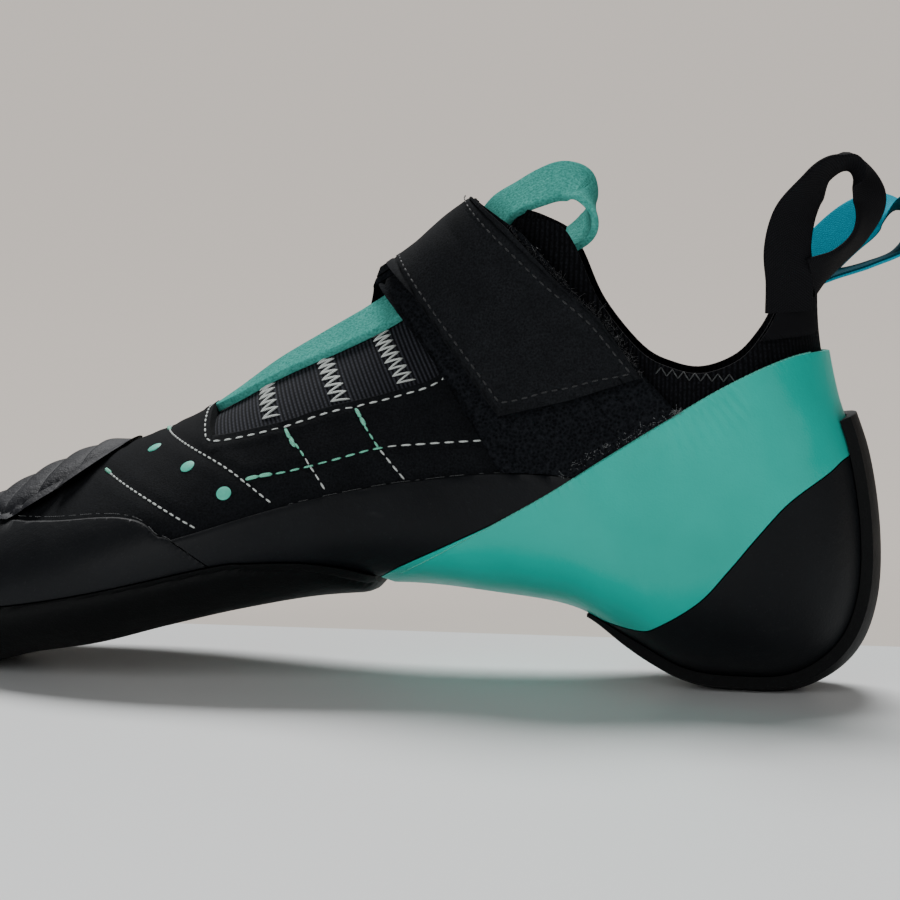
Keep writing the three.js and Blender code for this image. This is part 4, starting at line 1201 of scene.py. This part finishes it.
# The stitched line just inside the throat's edge, as far back as the strap
border = edge_line(THROAT_EDGE, -0.1)
border = border[border[:, 0] < -0.40 * LAST_LENGTH]
border = stitches(*on_side(border, upper_skin), 2.9, 0.64)
white = [seam("toe", 2.0, 0.72), seam("quarter", 2.0, 0.72), border]
# The other seams start in mint and end in white
MINT_SHARE = 0.6
mint = []
for name, pitch, share in (("long", 3.3, 0.7), ("front_bar", 2.3, 0.76), ("rear_bar", 2.3, 0.76)):
    row = seam(name, pitch, share)
    change = int(len(row[0]) * MINT_SHARE)
    mint.append([v[:change] for v in row])
    white.append([v[change:] for v in row])
TACKS = (
    ((0.562, 0.526), (0.556, 0.506)), ((0.556, 0.506), (0.550, 0.489)), ((0.495, 0.571), (0.489, 0.553)),
    ((0.489, 0.553), (0.484, 0.536)), ((0.595, 0.421), (0.582, 0.427)), ((0.582, 0.427), (0.569, 0.433)),
    ((0.705, 0.509), (0.696, 0.503)), ((0.751, 0.420), (0.742, 0.413)))
dress(strands("white_stitches", join_rows(white), 0.24), white_thread, "knit")
dress(strands("mint_stitches", join_rows(mint), 0.26), mint_thread, "knit")
dress(strands("bar_tacks", join_rows([tack(rows) for rows in TACKS]), 0.5), mint_thread, "knit")

# White zigzags across the elastic: ends in shares, and strokes
ZIGZAGS = (
    ((0.604, 0.640), (0.582, 0.556), 17), ((0.548, 0.716), (0.512, 0.594), 21),
    ((0.498, 0.782), (0.448, 0.636), 25))
ZIGZAG_WIDTH = 4.3
CUFF_LINE = ((0.206, 0.711), (0.173, 0.715), (0.130, 0.738))
CUFF_SWING = 0.9


def zigzag(first, last, strokes):
    """Strokes of a zigzag between two ends, with every second corner nearer the one before."""
    line = evenly(np.hstack(on_side(side((first, last)), TONGUE_OUT + 0.12)), 0.1)
    at = np.linspace(0, len(line) - 1, strokes + 1)
    at[1::2] = np.clip(at[1::2] - 0.25 * (at[1] - at[0]), 0, None)
    row = np.stack([np.interp(at, np.arange(len(line)), line[:, k]) for k in range(6)], 1)
    wide = unit(np.cross(row[:, 3:], unit(row[-1:, :3] - row[:1, :3])))
    sign = np.where(np.arange(len(row)) % 2, 1, -1)[:, None]
    row[:, :3] += wide * sign * ZIGZAG_WIDTH / 2
    return row[:-1, :3], row[1:, :3], unit(row[:-1, 3:] + row[1:, 3:])


def cuff_zigzag():
    line = evenly(np.hstack(on_side(side(CUFF_LINE), 0.1)), 1.3)
    line[:, 2] += np.where(np.arange(len(line)) % 2, CUFF_SWING, -CUFF_SWING)
    return line[:-1, :3], line[1:, :3], unit(line[:-1, 3:])


dress(strands("cuff_zigzag", cuff_zigzag(), 0.13, bow=0.8), glue, "knit")
dress(strands("white_zigzags", join_rows([zigzag(*row) for row in ZIGZAGS]), 0.27, bow=0.8),
      white_thread, "elastic")

# Small round prints between the first two seams: places, radius and points round each, then the share
# of the radius and the lift of each ring
DOTS = ((0.701, 0.467), (0.656, 0.438), (0.614, 0.389))
DOT_RADIUS = 1.7
DOT_SIDES = 28
DOT_RINGS = ((1, -0.3), (1, 0.12), (0.9, 0.2))


def dot_mesh(dot):
    """Points and faces of one print: a low disk with a rounded edge."""
    place, turn = locate(side((dot,)))
    over = outward(place, turn)[0]
    middle = surface(place, turn, upper_skin)[0]
    wide = unit(np.cross(over, [0, 0, 1.0]))
    tall = np.cross(wide, over)
    angle = np.linspace(0, 2 * math.pi, DOT_SIDES, endpoint=False)[:, None]
    rim = DOT_RADIUS * (np.cos(angle) * wide + np.sin(angle) * tall)
    rings = [middle + over * lift + rim * size for size, lift in DOT_RINGS]
    j = np.arange(DOT_SIDES)
    k = (j + 1) % DOT_SIDES
    top = 2 * DOT_SIDES
    lid = np.stack([top + j, top + k, 0 * j + 3 * DOT_SIDES], 1)
    bottom = np.stack([k, j, 0 * j + 3 * DOT_SIDES + 1], 1)
    points = np.vstack([*rings, [middle + over * 0.22], [middle - over * 0.3]])
    return points, np.vstack([tube_sides(3, DOT_SIDES), lid, bottom])


def round_prints():
    dots = [dot_mesh(dot) for dot in DOTS]
    points = np.vstack([p for p, faces in dots])
    faces = np.vstack([faces + i * len(p) for i, (p, faces) in enumerate(dots)])
    return smooth(outside_out(make_object("round_prints", points, faces)))


dress(round_prints(), mint_print, "knit")


def inset(rows, by):
    """An outline of the side view drawn in by a distance."""
    line = side(rows)
    square = square_to(np.roll(line, -1, 0) - np.roll(line, 1, 0))
    square *= np.sign(((line.mean(0) - line) * square).sum(1, keepdims=True))
    return line + square * by


# The strap's stitches run along its three edges that show
drawn_in = inset(STRAP_OUTER, 1.7)
runs = [on_side(drawn_in[a:b], over_ridge(STRAP_OUT)) for a, b in ((0, 4), (3, 6), (5, 10))]
grey = [stitches(*run, 2.3, 0.6) for run in runs]
dress(strands("strap_stitches", join_rows(grey), 0.17), grey_thread, "black_suede")

# Glue lines along the rands, and a painted highlight along the sling's top edge
chance = np.random.default_rng(11)
MARKS_KEPT = 0.6


def edge_marks(line, offset, inner):
    """Broken fine line along an edge."""
    row = stitches(*on_side(line, offset, inner), 1.1, 1.05)
    kept = chance.random(len(row[0])) < MARKS_KEPT
    return [v[kept] for v in row]


def inside_view(line):
    """The part of an edge between its own ends."""
    return line[(line[:, 0] > -LAST_LENGTH * 0.985) & (line[:, 0] < 0)]


marks = []
for inner in (False, True):
    marks.append(edge_marks(inside_view(toe_edge)[:-8], GAP + 0.9, inner))
    marks.append(edge_marks(inside_view(side_edge)[12:-8], GAP + 0.9, inner))
dress(strands("glue_marks", join_rows(marks), 0.075, bow=0), glue, "rand_rubber")
sling_top = inside_view(sling_edge)[6:]
sling_top = sling_top[sling_top[:, 0] < -0.06 * LAST_LENGTH]
# A paler line along the sling's top edge on both sides: painted highlight
pale = [stitches(*on_side(sling_top, GAP + 1.45, inner), 1.2, 1.1) for inner in (False, True)]
dress(strands("sling_top_highlights", join_rows(pale), 0.2, bow=0), edge_highlight, "turquoise_rubber")

FIBRE_RINGS = 5
FIBRE_LEAN = 0.9


def fibres(name, points, normals, length, radius, finish):
    """Loose curled fibres that stand on points of a surface."""
    count = len(points)
    lean = chance.normal(size=(count, 3)) * FIBRE_LEAN
    lean -= normals * (lean * normals).sum(1, keepdims=True)
    tall = length * (0.4 + 0.8 * chance.random(count))[:, None]
    wide = unit(np.cross(normals, lean + 1e-6))
    over = np.cross(wide, unit(lean + 1e-6))
    rings = []
    for t in np.linspace(0, 1, FIBRE_RINGS):
        middle = points + normals * tall * (0.15 + math.sin(t * 2.2) * 0.6) + lean * tall * t
        rings.append(ring_round(middle, radius * (1 - 0.6 * t), wide, over, FIBRE_ANGLES))
    dress(joined(name, rings), finish, "black_suede")


def along_line(line, offset, count, width):
    """Points scattered beside a line on the last."""
    points, normals = on_side(line, offset)
    at = chance.random(count) * (len(points) - 1)
    pick = [np.interp(at, np.arange(len(points)), v[:, k]) for v in (points, normals) for k in range(3)]
    p, n = np.stack(pick[:3], 1), unit(np.stack(pick[3:], 1))
    drift = chance.normal(size=(count, 3)) * width
    drift -= n * (drift * n).sum(1, keepdims=True)
    return p + drift, n


low_panel = side(((0.294, 0.447), (0.257, 0.506), (0.219, 0.565), (0.181, 0.637)))
front_panel = side(PANEL_OUTER)[:5]
hook_edge = side(HOOK_OUTER)[5:9]
fibres("pale_fibres", *along_line(low_panel, PANEL_OUT - 0.5, 420, 0.45), 0.7, 0.07, pale_fibre)
fibres("panel_fibres", *along_line(front_panel, PANEL_OUT - 0.4, 700, 0.5), 0.9, 0.05, black_fuzz)
fibres("hook_fibres", *along_line(hook_edge, over_ridge(HOOK_OUT - 0.3), 500, 0.6), 0.9, 0.06, fibre)

# Floor, backdrop, light and camera

# The camera's distance and the size of a pixel at the target in millimetres, and the picture's pixels
DISTANCE, PIXEL, PIXELS = 640.0, 0.235, 900
SENSOR = 36
PITCH, AZIMUTH, ROLL = (math.radians(v) for v in (3.7, 5.0, 1.2))
TARGET = np.array([14.44, 0.56, 53.2])
back = np.array([math.sin(AZIMUTH) * math.cos(PITCH), -math.cos(AZIMUTH) * math.cos(PITCH), math.sin(PITCH)])
level = np.array([math.cos(AZIMUTH), math.sin(AZIMUTH), 0.0])
upright = np.cross(back, level)
right = level * math.cos(ROLL) + upright * math.sin(ROLL)
up = upright * math.cos(ROLL) - level * math.sin(ROLL)
camera = add_object("camera", bpy.data.cameras.new("camera"))
camera.data.sensor_width = SENSOR
camera.data.lens = DISTANCE / PIXEL / PIXELS * SENSOR
camera.data.clip_start, camera.data.clip_end = 0.01, 50
view = np.eye(4)
view[:3] = np.stack([right, up, back, (TARGET + back * DISTANCE) * MM], 1)
camera.matrix_world = Matrix(view.tolist())
bpy.context.scene.camera = camera


def stage_sheet(name, profile, color, roughness):
    """Sheet that runs across the stage along a profile of depth and height, in metres."""
    points = [(x, y, z) for y, z in profile for x in (-4.0, 4.0)]
    faces = [[2 * i, 2 * i + 1, 2 * i + 3, 2 * i + 2] for i in range(len(profile) - 1)]
    mesh = bpy.data.meshes.new(name)
    mesh.from_pydata(points, [], faces)
    mesh.shade_smooth()
    f = Finish(name, color, roughness, Specular_IOR_Level=0.3)
    f.bump(f.noise(40, 2), 0.2)
    mesh.materials.append(f.material)
    add_object(name, mesh)


def cove(steps=60, step=0.15, bend=0.8):
    """Profile level enough to be seen over from behind, then steeper and far enough to fill the view."""
    profile = []
    for i in range(steps):
        past = max(step * i - bend, 0)
        profile.append((FLOOR_END + step * i, 0.061 * step * i + 0.088 * past * past / (past + bend)))
    return profile


FLOOR_END = 0.077
stage_sheet("floor", [(-3.0, 0.0), (FLOOR_END, 0.0)], "#e2e4e4", 0.4)
stage_sheet("backdrop", cove(), "#cdc4bb", 0.9)

world = bpy.data.worlds.new("studio")
bpy.context.scene.world = world
world.use_nodes = True
world.node_tree.nodes["Background"].inputs["Color"].default_value = rgb("#f2f1ef")
world.node_tree.nodes["Background"].inputs["Strength"].default_value = 0.1


def lamp(name, where, size, power):
    """Round lamp that shines on the middle of the shoe."""
    light = bpy.data.lights.new(name, "AREA")
    light.shape, light.size, light.energy = "DISK", size, power
    made = add_object(name, light)
    made.location = where
    made.rotation_euler = (Vector((0, 0, 0.05)) - Vector(where)).to_track_quat("-Z", "Y").to_euler()


lamp("front", (-0.5, -1.35, 0.5), 1.2, 10)
lamp("fill", (1.3, -0.9, 0.6), 1.2, 3)
sun = bpy.data.lights.new("key", "SUN")
sun.energy, sun.angle = 4.35, math.radians(30)
key = add_object("key", sun)
key.rotation_euler = (math.radians(-34), math.radians(-6), 0)
